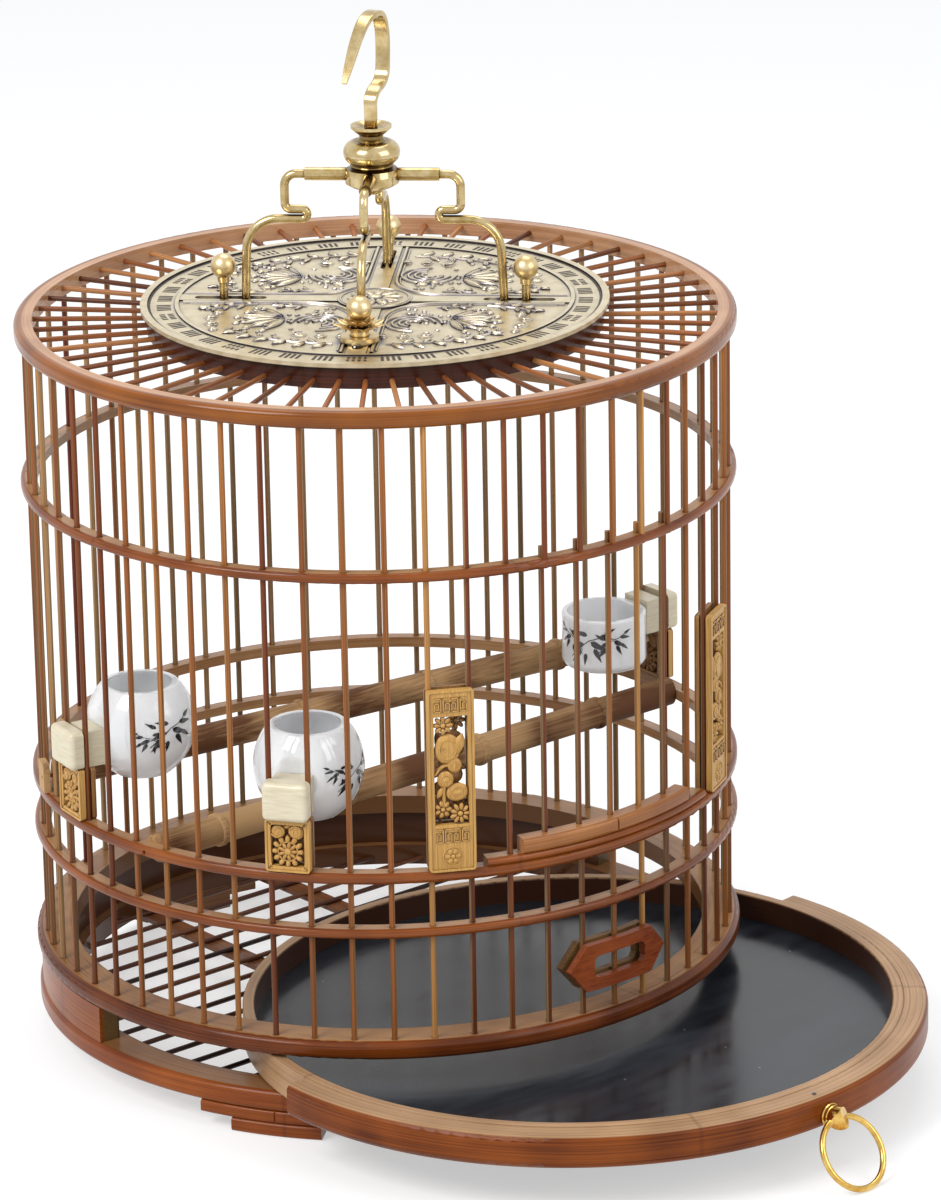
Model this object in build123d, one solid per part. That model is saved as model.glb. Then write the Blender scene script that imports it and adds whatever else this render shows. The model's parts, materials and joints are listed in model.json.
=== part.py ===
from build123d import *
import math
import os

# Round bamboo bird cage with a lift-up door, a pull-out tray, three porcelain
# cups, two perches, a pressed brass top plate and a four-claw brass hanger.
#
# Frame: the origin is on the cage's axis at floor level, +Z is up, and the door
# and the window plate face -Y. Lengths are millimetres and angles are degrees.
# The tray is modelled part way out.

full_turn = 360
quarter_turn = 90
front = -90

# Running gaps and fits
bar_fit = 0.08
wood_gap = 0.15
tray_gap = 0.3
brass_gap = 0.3
cup_gap = 0.3
pin_fit = 0.06
overrun = 2.0
most_round_share = 0.48

# Cage wall: upright bars on one circle, held by rings and hoops
bar_circle_r = 160.0
bar_d = 2.6
bar_count = 56
bar_seat = 4.2
hoop_in = 3.6
hoop_out = 4.0
hoop_h = 4.4
middle_hoop_h = 5.0
hoop_round = 1.7

# Heights, from the floor up
lower_step_h = 6.5
upper_step_h = 6.0
bottom_ring_h = 9.8
slot_h = 17.3
base_ring_h = 8.9
lower_bay_h = 49.0
middle_bay_h = 21.4
upper_bay_h = 134.7
top_bay_h = 65.7
top_ring_h = 8.0

# Base: bottom ring, housing wall round the back half, wide base ring
bottom_ring_in = 12.0
bottom_ring_out = 4.6
bottom_ring_round = 2.6
base_ring_in = 12.3
base_ring_out = 5.0
base_ring_round = 3.4
housing_out = 3.3
housing_t = 10.5
slot_middle_angle = -87.4
slot_half_angle = 96.2
top_ring_in = 4.0
top_ring_out = 4.4
top_ring_round = 2.6

# Feet: two steps each, under the bottom ring
foot_angles = {"left": 212.0, "right": 328.0, "back": 90.0}
foot_in = 11.0
foot_out = 4.0
upper_step_half_angle = 13.0
lower_step_half_angle = 7.5
foot_round = 1.6
groove_w = 1.0
groove_depth = 0.7

# Floor grille inside the bottom ring
slat_d = 2.4
slat_count = 18
slat_edge_gap = 12.0
rail_w = 9.5
rail_h = 2.4
rail_x = 37.0
grille_seat = 4.0

# Door: a rail on a sill, with bars that run up through the upper hoop
door_side_bars = 2
door_rail_end_gap = 3.7
door_sill_end_gap = 5.0
door_rail_h = 6.8
door_sill_h = 3.7
door_bar_gap = 0.8
door_bar_top = 4.6

# Top: radial bars, a ring under the plate, a ring that the claws lift
top_bar_d = 2.4
top_bar_seat = 3.0
plate_ring_r = 104.0
plate_ring_w = 8.0
plate_ring_up = 6.5
plate_ring_down = 3.4
carrying_ring_r = 66.7
carrying_ring_w = 5.4
carrying_ring_h = 6.4
carrying_ring_round = 1.2

# Pressed brass plate
plate_r = 106.7
plate_t = 1.4
plate_rim_w = 3.2
plate_rim_h = 0.9
plate_ridge_r = 91.0
plate_ridge_w = 1.8
plate_ridge_h = 0.6
plate_slot_inward = 9.5
plate_slot_outward = 13.4
plate_slot_side_gap = 0.5
plate_cross_w = 9.0
plate_cross_h = 0.5
plate_boss_r = 17.0
plate_boss_h = 0.7

# Hanger: a turned hub, four sleeves and four folded wire claws
hanger_bar_steps = 7
claw_count = 4
claw_wire_d = 4.0
arm_z_above_plate = 58.8
sleeve_d = 6.0
sleeve_in = 8.5
sleeve_l = 22.0
sleeve_socket_l = 13.5
claw_arm_l = 9.5
claw_corner_r = 5.5
claw_drop = 16.6
claw_fold_corner_r = 3.0
claw_fold_l = 10.0
claw_fold_gap = 0.4
claw_elbow_in = 1.6
claw_elbow_r = 15.0
claw_knee_r = 24.0
claw_foot_bend_r = 3.0
claw_top_d = 11.5
claw_ball_up = 15.5
claw_ball_neck_d = 7.0
claw_ball_neck_h = 7.6
claw_ball_neck_wall = 0.5
claw_end_in_ball = 1.5
bend_slack = 0.01
hub_r = 12.9
hub_h = 28.3
hub_below_arm = 5.4
hub_bore_r = 2.6
hub_dish_share = 0.05
hub_foot_shares = [(0.0, 0.0), (0.74, 0.0), (0.95, 0.06), (0.95, 0.2), (0.89, 0.29), (0.73, 0.31)]
hub_bead_shares = [(0.77, 0.345), (0.73, 0.375)]
hub_bulb_shares = [(1.0, 0.56), (0.52, 0.745)]
hub_neck_shares = [(0.43, 0.79), (0.42, 0.84), (0.6, 0.9), (0.72, 0.955), (0.72, 1.0), (0.64, 1.0)]
hub_dish_r_share = 0.36
washer_r = 12.5
washer_t = 1.6
washer_up = 6.0
washer_petals = 8
washer_petal_r_share = 0.36
washer_core_share = 0.66
collar_r = 8.6
collar_h = 2.6
petal_claw = 3

# Hook: a flat bar bent in one plane, on a round pin that turns in the hub
hook_angle = 208.0
hook_w = 6.4
hook_t = 4.6
hook_tip_w = 3.6
hook_tip_t = 3.0
hook_pin_fit = 0.08
hook_seat_gap = 0.2
hook_stem_h = 14.0
hook_crook_out = 15.0
hook_crook_rise = 1.6
hook_crook_r_share = 0.41
hook_h = 49.5
hook_reach = 22.5
hook_bend_r_share = 0.64
hook_tip_out = 29.5
hook_tip_drop = 24.0
hook_nut_r = 4.4
hook_nut_h = 3.4
hook_nut_gap = 0.2

# Tray: a full ring with a black sheet, and a front band that closes the slot;
# it slides a little to the right of straight ahead, as the slot's middle does
tray_out = 122.0
tray_slide_angle = -86.0
tray_rim_w = 5.6
tray_top_gap = 0.7
tray_side_gap = 1.7
tray_rim_round = 1.0
band_out = 1.3
band_below_rim_top = 0.5
band_above_rim_foot = 0.7
band_end_angle = 1.0
band_round = 3.0
sheet_t = 1.5
sheet_up = 3.2
sheet_groove = 2.2

# Pull: a brass clip on the band with a ring through it
pull_up = 6.4
pull_ring_r = 16.6
pull_wire_r = 1.45
pull_eye_out = 5.4
pull_hole_r = 2.5
pull_tube_r = 4.3
pull_tube_w = 9.0
pull_plate_w = 11.0
pull_plate_h = 12.5
pull_plate_t = 2.0
pull_plate_round = 4.0
pull_stud_r = 2.2
pull_stud_in = 6.0

# Perches along X: one level with the middle hoop, one resting on it
perch_r = 6.7
front_perch_gaps = {"left": -1.5, "right": -1.5}
back_perch_gaps = {"left": 3.5, "right": 1.5}
perch_knot_r = 1.0
perch_knot_w = 3.4
front_knot_shares = (-0.78, -0.3, 0.22, 0.7)
back_knot_shares = (-0.62, -0.12, 0.34, 0.84)
perch_end_gap = 0.2
perch_pin_r = 0.9
perch_pin_in = 8.0
perch_pin_inset = 1.0
bracket_w = 9.0
bracket_h = 14.0
bracket_t = 3.0

# Carved boxwood plates in pairs, outside and inside the bars
carved_t = 3.0
carved_back_t = 2.4
carved_border = 2.2
carved_round = 1.6
jamb_w = 21.0
jamb_h = 84.7
jamb_gap = 4.5
clip_w = 20.5
clip_h = 24.7
clip_gaps = {"left": -15.5, "front": -8.5, "right": 13.5}
block_w = 21.0
block_h = 18.0
block_t = 6.8
block_round = 2.6
saddle_w = 17.0
saddle_h = 16.5
saddle_t = 8.5
tongue_w = 6.0
tongue_h = 6.0
tongue_into_cup = 2.4
jamb_opening_shares = (0.145, 0.76)
jamb_motif_shares = [
    (-0.42, 0.8, 0.62, 0.62),
    (-0.12, 0.38, 0.72, 0.85),
    (0.4, 0.38, 0.36, 0.6),
    (0.2, 0.04, 0.46, 0.42),
    (-0.34, -0.18, 0.5, 0.45),
    (0.36, -0.4, 0.68, 0.58),
    (-0.6, -0.7, 0.52, 0.52),
    (0.5, -0.8, 0.58, 0.58),
]
clip_motif_shares = [(0.0, -0.24, 0.56, 0.56), (-0.6, 0.62, 0.42, 0.42), (0.58, 0.74, 0.46, 0.46)]
clip_petals = 9
clip_petal_ring_share = 0.8
clip_petal_share = 0.25

# Window plate: a long hexagon with a slot, on both sides of the bars
window_w = 56.0
window_h = 22.0
window_point = 9.0
window_t = 3.4
window_up = 11.5
window_slot_w = 30.0
window_slot_h = 10.4
window_slot_round = 3.0

# Porcelain cups
globe_r = 24.6
globe_foot_r = 13.0
globe_rim_r = 17.5
globe_h = 42.0
globe_belly_share = 0.45
globe_below_tongue = 18.6
tub_r = 20.2
tub_h = 26.5
tub_below_tongue = 21.0
tub_round = 4.0
cup_wall = 2.6
cup_back_wall = 4.2
cup_lip_round = 1.1
globe_belly_behind = 2.0
tub_belly_behind = 1.0

# Levels and radii that follow from the sizes above
pitch = full_turn / bar_count
bar_r = bar_d / 2
upper_step_z = lower_step_h
bottom_ring_z = upper_step_z + upper_step_h
tray_floor_z = bottom_ring_z + bottom_ring_h
base_ring_z = tray_floor_z + slot_h
base_top = base_ring_z + base_ring_h
lower_hoop_z = base_top + lower_bay_h
middle_hoop_z = lower_hoop_z + hoop_h + middle_bay_h
middle_top = middle_hoop_z + middle_hoop_h
upper_hoop_z = middle_top + upper_bay_h
upper_top = upper_hoop_z + hoop_h
top_ring_z = upper_top + top_bay_h
top_level = top_ring_z + top_ring_h / 2
plate_z = top_level + plate_ring_up
plate_top = plate_z + plate_t
arm_z = plate_top + arm_z_above_plate
hanger_angle = front + hanger_bar_steps * pitch
hoop_r_in = bar_circle_r - hoop_in
hoop_r_out = bar_circle_r + hoop_out
wall_out = bar_circle_r + bar_r + wood_gap
wall_in = (bar_circle_r - bar_r) * math.cos(math.radians(pitch / 2)) - wood_gap
housing_r = bar_circle_r + housing_out
housing_in = housing_r - housing_t
rim_out = housing_in - tray_side_gap
rim_in = rim_out - tray_rim_w
tray_z = tray_floor_z + tray_gap
tray_rim_h = slot_h - tray_gap - tray_top_gap
band_r = housing_r - band_out
band_half_angle = slot_half_angle - band_end_angle
pull_z = tray_z + pull_up
slat_reach_r = bar_circle_r - bottom_ring_in + grille_seat
slat_pitch = 2 * (bar_circle_r - bottom_ring_in - slat_edge_gap) / (slat_count - 1)
door_bar_r = bar_circle_r - (bar_d + door_bar_gap) / 2
fixed_bar_r = bar_circle_r + (bar_d + door_bar_gap) / 2
door_rail_z = middle_top + door_sill_h
door_top = upper_top + door_bar_top
carrying_in = carrying_ring_r - carrying_ring_w
claw_r = claw_wire_d / 2
claw_in_u = carrying_in - brass_gap - claw_r
claw_out_u = carrying_ring_r + brass_gap + claw_r
claw_foot_z = top_level - carrying_ring_h / 2 - brass_gap - claw_r
claw_ball_z = plate_top + claw_ball_up
sleeve_out = sleeve_in + sleeve_l
sleeve_wire_in = sleeve_out - sleeve_socket_l
hub_z = arm_z - hub_below_arm
hook_z = hub_z + hub_h
hook_pin_r = hub_bore_r - hook_pin_fit
saddle_in = wall_in - saddle_t
cup_back_x = saddle_in - cup_gap
tongue_end_x = cup_back_x - tongue_into_cup
tongue_z = middle_top + clip_h + block_h / 2
window_z = base_top + window_up
globe_z = tongue_z - globe_below_tongue
tub_z = tongue_z - tub_below_tongue

standing = (Align.CENTER, Align.CENTER, Align.MIN)


def degrees_along(length):
    # the angle that a length takes up on the circle of the bars
    return math.degrees(length / bar_circle_r)


jamb_angle = jamb_gap * pitch
door_sill_half_angle = jamb_angle - degrees_along(jamb_w / 2 + door_sill_end_gap)
door_rail_half_angle = (door_side_bars + 1) * pitch - degrees_along(bar_r + door_rail_end_gap)


# Shared shapes


def polar(radius, angle, z=0):
    # a place on a circle round the cage's axis, with its X turned outwards
    return Rot(0, 0, angle) * Pos(radius, 0, z)


def ring_face(r_in, r_out, low, high, round_out=0, round_in=0):
    # the section of a ring, with its outer and inner corners rounded as far as it is thick
    face = Rectangle(r_out - r_in, high - low)
    most = most_round_share * min(r_out - r_in, high - low)
    if round_out:
        face = fillet(face.vertices().group_by(Axis.X)[-1], min(round_out, most))
    if round_in:
        face = fillet(face.vertices().group_by(Axis.X)[0], min(round_in, most))
    return Plane.XZ * Pos((r_in + r_out) / 2, (low + high) / 2) * face


def full_ring(r_in, r_out, low, high, round_out=0, round_in=0):
    return revolve(ring_face(r_in, r_out, low, high, round_out, round_in), Axis.Z)


def ring_piece(r_in, r_out, low, high, middle, half_angle, round_out=0):
    # a stretch of a ring, half_angle each way from its middle
    face = ring_face(r_in, r_out, low, high, round_out)
    return Rot(0, 0, middle - half_angle) * revolve(face, Axis.Z, revolution_arc=2 * half_angle)


def upright(radius, angle, low, high, rod_r):
    return polar(radius, angle, low) * Cylinder(rod_r, high - low, align=standing)


def spoke(angle, r_start, r_end, z, rod_r):
    # a round rod that points straight out from the axis
    rod = Cylinder(rod_r, r_end - r_start, align=standing)
    return Rot(0, 0, angle) * Pos(r_start, 0, z) * Rot(0, quarter_turn, 0) * rod


def rod_along_x(x_start, x_end, y, z, rod_r):
    rod = Cylinder(rod_r, x_end - x_start, align=standing)
    return Pos(x_start, y, z) * Rot(0, quarter_turn, 0) * rod


def slab(x_in, x_out, width, low, high):
    # a flat block standing square to the radius, between two distances from the axis
    return Pos((x_in + x_out) / 2, 0, low) * Box(x_out - x_in, width, high - low, align=standing)


def save(name, solids):
    # one STEP file for each sub-part, with separate pieces kept separate
    pieces = [solid for shape in solids for solid in shape.solids()]
    shape = pieces[0] if len(pieces) == 1 else Compound(children=pieces)
    shape.label = name
    export_step(shape, "parts/" + name + ".step")


# Where the bars stand

door_numbers = range(-door_side_bars, door_side_bars + 1)
bar_angles = [front + number * pitch for number in range(bar_count)]
door_angles = [front + number * pitch for number in door_numbers]
wall_angles = [front + number * pitch for number in range(door_side_bars + 1, bar_count - door_side_bars)]
top_bar_angles = [angle + pitch / 2 for angle in bar_angles]


def bar_holes(radius, angles, low, high):
    return [upright(radius, angle, low, high, bar_r + bar_fit) for angle in angles]


# Rings and hoops of the wall


def make_top_ring():
    r_in = bar_circle_r - top_ring_in
    high = top_ring_z + top_ring_h
    ring = full_ring(r_in, bar_circle_r + top_ring_out, top_ring_z, high, top_ring_round)
    seat_top = top_ring_z + bar_seat
    holes = bar_holes(bar_circle_r, wall_angles, top_ring_z - overrun, seat_top)
    holes += bar_holes(fixed_bar_r, door_angles, top_ring_z - overrun, seat_top)
    reach = r_in + top_bar_seat
    for angle in top_bar_angles:
        holes.append(spoke(angle, r_in - overrun, reach, top_level, top_bar_d / 2 + bar_fit))
    return ring - holes


def make_hoop(low, height, bar_places):
    hoop = full_ring(hoop_r_in, hoop_r_out, low, low + height, hoop_round)
    holes = []
    for radius, angles in bar_places:
        holes += bar_holes(radius, angles, low - overrun, low + height + overrun)
    return hoop - holes


def make_upper_hoop():
    places = [(bar_circle_r, wall_angles), (door_bar_r, door_angles), (fixed_bar_r, door_angles)]
    return make_hoop(upper_hoop_z, hoop_h, places)


def make_middle_hoop():
    # with a hole at each end of the front perch, for its pins
    hoop = make_hoop(middle_hoop_z, middle_hoop_h, [(bar_circle_r, bar_angles)])
    return hoop - perch_pins(front_perch, hoop_r_out + overrun, pin_fit)


def make_lower_hoop():
    return make_hoop(lower_hoop_z, hoop_h, [(bar_circle_r, bar_angles)])


def make_base_ring():
    r_out = bar_circle_r + base_ring_out
    ring = full_ring(bar_circle_r - base_ring_in, r_out, base_ring_z, base_top, base_ring_round)
    return ring - bar_holes(bar_circle_r, bar_angles, base_top - bar_seat, base_top + overrun)


def make_housing_wall():
    half_angle = full_turn / 2 - slot_half_angle
    back = slot_middle_angle + full_turn / 2
    return ring_piece(housing_in, housing_r, tray_floor_z, base_ring_z, back, half_angle)


def make_bottom_ring():
    r_in = bar_circle_r - bottom_ring_in
    r_out = bar_circle_r + bottom_ring_out
    ring = full_ring(r_in, r_out, bottom_ring_z, tray_floor_z, bottom_ring_round)
    cuts = [grille_slat(number, bar_fit) for number in range(slat_count)]
    cuts += [grille_rail(side, bar_fit) for side in (-1, 1)]
    return ring - cuts


# Upright bars: the long ones, and the short ones below and above the door


def make_wall_bars():
    foot = base_top - bar_seat
    head = top_ring_z + bar_seat
    bars = [upright(bar_circle_r, angle, foot, head, bar_r) for angle in wall_angles]
    for angle in door_angles:
        bars.append(upright(bar_circle_r, angle, foot, middle_top, bar_r))
        bars.append(upright(fixed_bar_r, angle, upper_hoop_z, head, bar_r))
    return bars


# Floor grille


def grille_slat(number, extra=0):
    # slats run along X on the two rails, and end inside the bottom ring
    y = (number - (slat_count - 1) / 2) * slat_pitch
    z = bottom_ring_z + rail_h + slat_d / 2
    reach = math.sqrt(slat_reach_r ** 2 - y ** 2)
    return rod_along_x(-reach, reach, y, z, slat_d / 2 + extra)


def grille_rail(side, extra=0):
    reach = math.sqrt(slat_reach_r ** 2 - rail_x ** 2)
    size = Box(rail_w + 2 * extra, 2 * reach, rail_h + extra, align=standing)
    return Pos(side * rail_x, 0, bottom_ring_z) * size


# Feet


def make_foot(angle):
    # a wide upper step with a groove at its middle, and a narrow lower step
    r_in = bar_circle_r - foot_in
    r_out = bar_circle_r + foot_out
    upper = ring_piece(r_in, r_out, upper_step_z, bottom_ring_z, angle, upper_step_half_angle, foot_round)
    lower = ring_piece(r_in, r_out, 0, upper_step_z, angle, lower_step_half_angle, foot_round)
    return [upper - groove(r_out, angle, upper_step_z, upper_step_h), lower]


def groove(radius, angle, low, height):
    # the fine upright line at the middle of a foot and of the door rail
    cut = Box(2 * groove_depth, groove_w, height + 2 * overrun, align=standing)
    return polar(radius, angle, low - overrun) * cut


# Door


def make_door_sill():
    low = middle_top
    sill = ring_piece(hoop_r_in, hoop_r_out, low, door_rail_z, front, door_sill_half_angle, hoop_round)
    return sill - bar_holes(bar_circle_r, wall_angles, low - overrun, door_rail_z + overrun)


def make_door_rail():
    high = door_rail_z + door_rail_h
    rail = ring_piece(hoop_r_in, hoop_r_out, door_rail_z, high, front, door_rail_half_angle, hoop_round)
    rail -= groove(hoop_r_out, front, door_rail_z, door_rail_h)
    return rail - bar_holes(door_bar_r, door_angles, high - bar_seat, high + overrun)


def make_door_bars():
    low = door_rail_z + door_rail_h - bar_seat
    return [upright(door_bar_r, angle, low, door_top, bar_r) for angle in door_angles]


# Top


def make_top_bars():
    start = carrying_ring_r - top_bar_seat
    reach = bar_circle_r - top_ring_in + top_bar_seat
    return [spoke(angle, start, reach, top_level, top_bar_d / 2) for angle in top_bar_angles]


def make_plate_ring():
    r_in = plate_ring_r - plate_ring_w
    ring = full_ring(r_in, plate_ring_r, top_level - plate_ring_down, plate_z)
    hole_r = top_bar_d / 2 + bar_fit
    r_out = plate_ring_r + overrun
    return ring - [spoke(angle, r_in - overrun, r_out, top_level, hole_r) for angle in top_bar_angles]


def make_carrying_ring():
    low = top_level - carrying_ring_h / 2
    high = low + carrying_ring_h
    ring = full_ring(carrying_in, carrying_ring_r, low, high, carrying_ring_round, carrying_ring_round)
    start = carrying_ring_r - top_bar_seat
    r_out = carrying_ring_r + overrun
    hole_r = top_bar_d / 2 + bar_fit
    return ring - [spoke(angle, start, r_out, top_level, hole_r) for angle in top_bar_angles]


def claw_angles():
    return [hanger_angle + number * full_turn / claw_count for number in range(claw_count)]


def make_brass_plate():
    # a pressed disc with a plain rim, a ridge inside it, a raised cross and a centre boss
    plate = Pos(0, 0, plate_z) * Cylinder(plate_r, plate_t, align=standing)
    plate += full_ring(plate_r - plate_rim_w, plate_r, plate_top, plate_top + plate_rim_h)
    plate += full_ring(plate_ridge_r - plate_ridge_w, plate_ridge_r, plate_top, plate_top + plate_ridge_h)
    plate += Pos(0, 0, plate_top) * Cylinder(plate_boss_r, plate_boss_h, align=standing)
    arm = Box(plate_ridge_r - plate_ridge_w, plate_cross_w, plate_cross_h, align=standing)
    slot_in = claw_in_u - plate_slot_inward
    slot_out = claw_out_u + plate_slot_outward
    slot = SlotOverall(slot_out - slot_in, claw_wire_d + 2 * plate_slot_side_gap)
    slot = Pos((slot_in + slot_out) / 2, 0, plate_z - overrun) * slot
    slot = extrude(slot, plate_t + plate_boss_h + 2 * overrun, dir=(0, 0, 1))
    for angle in claw_angles():
        plate += Rot(0, 0, angle) * Pos(plate_ridge_r / 2, 0, plate_top) * arm
    return plate - [Rot(0, 0, angle) * slot for angle in claw_angles()]


# Hanger


def hub_point(share):
    return (share[0] * hub_r, hub_z + share[1] * hub_h)


def make_hub():
    # turned from a collar, a bead, a round bulb, a neck and a flared lip with a dished top
    foot = [hub_point(share) for share in hub_foot_shares + hub_bead_shares]
    belly, shoulder = [hub_point(share) for share in hub_bulb_shares]
    dish = [(hub_dish_r_share, 1 - hub_dish_share), (0, 1 - hub_dish_share)]
    neck = [shoulder] + [hub_point(share) for share in hub_neck_shares + dish]
    outline = Polyline(*foot) + ThreePointArc(foot[-1], belly, shoulder) + Polyline(*neck)
    outline += Line(neck[-1], foot[0])
    hub = revolve(Plane.XZ * make_face(outline), Axis.Z)
    hub -= Pos(0, 0, hub_z - overrun) * Cylinder(hub_bore_r, hub_h + 2 * overrun, align=standing)
    hole_r = sleeve_d / 2 + pin_fit
    return hub - [spoke(angle, sleeve_in, hub_r + overrun, arm_z, hole_r) for angle in claw_angles()]


def make_arm_sleeves():
    sleeves = []
    for angle in claw_angles():
        sleeve = spoke(angle, sleeve_in, sleeve_out, arm_z, sleeve_d / 2)
        socket = spoke(angle, sleeve_wire_in, sleeve_out + overrun, arm_z, claw_r + pin_fit)
        sleeves.append(sleeve - socket)
    return sleeves


def make_claw(angle):
    # one wire: out of the sleeve, down, folded back under itself, out and down
    # through the plate, round under the carrying ring and up to its ball
    corner_u = sleeve_out + claw_arm_l
    fold_u = corner_u - claw_fold_l
    fold_z = arm_z - claw_drop
    fold_r = claw_r + claw_fold_gap / 2
    back_z = fold_z - 2 * fold_r
    corners = [
        (sleeve_wire_in, arm_z),
        (corner_u, arm_z),
        (corner_u, fold_z),
        (fold_u, fold_z),
        (fold_u, back_z),
        (claw_in_u - claw_elbow_in, back_z),
        (claw_in_u, plate_top),
        (claw_in_u, claw_foot_z),
        (claw_out_u, claw_foot_z),
        (claw_out_u, claw_ball_z - claw_end_in_ball),
    ]
    radii = [claw_corner_r, claw_fold_corner_r, fold_r - bend_slack, fold_r - bend_slack,
             claw_elbow_r, claw_knee_r, claw_foot_bend_r, claw_foot_bend_r]
    path = FilletPolyline(*[(u, 0, z) for u, z in corners], radius=radii)
    section = Plane(origin=path @ 0, z_dir=path % 0) * Circle(claw_r)
    return Rot(0, 0, angle) * sweep(section, path=path)


def make_claw_balls():
    balls = []
    for angle in claw_angles():
        ball = Pos(0, 0, claw_ball_z) * Sphere(claw_top_d / 2)
        neck_end_r = claw_r + pin_fit + claw_ball_neck_wall
        neck = Cone(neck_end_r, claw_ball_neck_d / 2, claw_ball_neck_h, align=standing)
        ball += Pos(0, 0, claw_ball_z - claw_ball_neck_h) * neck
        bore_low = claw_ball_z - claw_ball_neck_h - overrun
        bore_high = claw_ball_z - claw_end_in_ball + pin_fit
        bore = Cylinder(claw_r + pin_fit, bore_high - bore_low, align=standing)
        ball -= Pos(0, 0, bore_low) * bore
        balls.append(polar(claw_out_u, angle) * ball)
    return balls


def claw_wire_cuts(low, high):
    # room for both legs of the claw that the washer and its collar sit on
    cuts = []
    for u, room in ((claw_in_u, brass_gap), (claw_out_u, pin_fit)):
        hole = Cylinder(claw_r + room, high - low + 2 * overrun, align=standing)
        cuts.append(Pos(u, 0, low - overrun) * hole)
    return cuts


def make_petal_washer():
    low = plate_top + washer_up
    petal_r = washer_r * washer_petal_r_share
    washer = Cylinder(washer_r * washer_core_share, washer_t, align=standing)
    for number in range(washer_petals):
        petal = Pos(washer_r - petal_r, 0) * Cylinder(petal_r, washer_t, align=standing)
        washer += Rot(0, 0, number * full_turn / washer_petals) * petal
    washer = Pos(claw_out_u, 0, low) * washer
    return Rot(0, 0, claw_angles()[petal_claw]) * (washer - claw_wire_cuts(low, low + washer_t))


def make_washer_collar():
    low = plate_top + plate_cross_h
    collar = Cylinder(collar_r, collar_h, align=standing)
    stalk = Cylinder(collar_r / 2, washer_up - plate_cross_h, align=standing)
    collar = Pos(claw_out_u, 0, low) * (collar + stalk)
    return Rot(0, 0, claw_angles()[petal_claw]) * (collar - claw_wire_cuts(low, low + washer_up))


# Hook


def make_hook():
    foot_z = hook_z - hub_dish_share * hub_h + hook_seat_gap
    crook_z = hook_z + hook_stem_h
    top_z = hook_z + hook_h
    bends = [
        (0, foot_z),
        (0, crook_z),
        (-hook_crook_out, crook_z + hook_crook_rise),
        (-hook_crook_out, top_z),
        (hook_reach - hook_crook_out, top_z),
        (hook_tip_out, top_z - hook_tip_drop),
    ]
    crook_r = hook_crook_r_share * hook_crook_out
    bend_r = hook_bend_r_share * hook_reach
    path = FilletPolyline(*[(u, 0, z) for u, z in bends], radius=[crook_r, crook_r, bend_r, bend_r])
    edges = path.edges()
    section = Plane(origin=path @ 0, x_dir=(1, 0, 0), z_dir=path % 0) * Ellipse(hook_t / 2, hook_w / 2)
    bar = sweep(section, path=Wire(edges[:-1]))
    tip = edges[-1]
    across = (0, 1, 0)
    wide = Plane(origin=tip @ 0, x_dir=across, z_dir=tip % 0) * Ellipse(hook_w / 2, hook_t / 2)
    narrow = Plane(origin=tip @ 1, x_dir=across, z_dir=tip % 1) * Ellipse(hook_tip_w / 2, hook_tip_t / 2)
    bar += loft([wide, narrow])
    bar += Pos(*(tip @ 1)) * Sphere(hook_tip_t / 2)
    pin_low = hook_nut_low()
    bar += Pos(0, 0, pin_low) * Cylinder(hook_pin_r, foot_z + hook_seat_gap - pin_low, align=standing)
    return Rot(0, 0, hook_angle) * bar


def hook_nut_low():
    return hub_z - hook_nut_gap - hook_nut_h


def make_hook_nut():
    low = hook_nut_low()
    nut = Pos(0, 0, low) * Cylinder(hook_nut_r, hook_nut_h, align=standing)
    nut = fillet(nut.edges().group_by(Axis.Z)[0], hook_nut_h / 2)
    hole = Cylinder(hook_pin_r + pin_fit, hook_nut_h + 2 * overrun, align=standing)
    return nut - Pos(0, 0, low - overrun) * hole


# Tray: drawn facing -Y at the cage's axis, then turned and pulled out


def pulled_out(shape):
    slide = math.radians(tray_slide_angle)
    place = Pos(tray_out * math.cos(slide), tray_out * math.sin(slide), 0)
    return place * Rot(0, 0, slot_middle_angle - front) * shape


def make_tray_rim():
    high = tray_z + tray_rim_h
    rim = full_ring(rim_in, rim_out, tray_z, high, tray_rim_round, tray_rim_round)
    groove_cut = Cylinder(rim_in + sheet_groove, sheet_t, align=standing)
    return pulled_out(rim - Pos(0, 0, tray_z + sheet_up) * groove_cut)


def make_tray_sheet():
    sheet = Cylinder(rim_in + sheet_groove - pin_fit, sheet_t, align=standing)
    return pulled_out(Pos(0, 0, tray_z + sheet_up) * sheet)


def make_tray_band():
    low = tray_z + band_above_rim_foot
    high = tray_z + tray_rim_h - band_below_rim_top
    band = ring_piece(rim_out, band_r, low, high, front, band_half_angle, band_round)
    return pulled_out(band - stud(pin_fit))


def stud(extra=0):
    # the screw that holds the pull in the band, along Y
    rod = Cylinder(pull_stud_r + extra, pull_stud_in + pull_eye_out, align=standing)
    return Pos(0, pull_stud_in - band_r, pull_z) * Rot(quarter_turn, 0, 0) * rod


def make_tray_pull():
    # a rounded plate on the band, a cross tube on it, and the screw behind
    plate = Plane.XZ * RectangleRounded(pull_plate_w, pull_plate_h, pull_plate_round)
    plate = Pos(0, -band_r, pull_z) * extrude(plate, pull_plate_t)
    eye_y = -band_r - pull_eye_out
    tube = Cylinder(pull_tube_r, pull_tube_w)
    tube = Pos(0, eye_y, pull_z) * Rot(0, quarter_turn, 0) * tube
    pull = plate + tube + stud()
    hole = Rot(0, quarter_turn, 0) * Cylinder(pull_hole_r, pull_tube_w + 2 * overrun)
    return pulled_out(pull - Pos(0, eye_y, pull_z) * hole)


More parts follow.
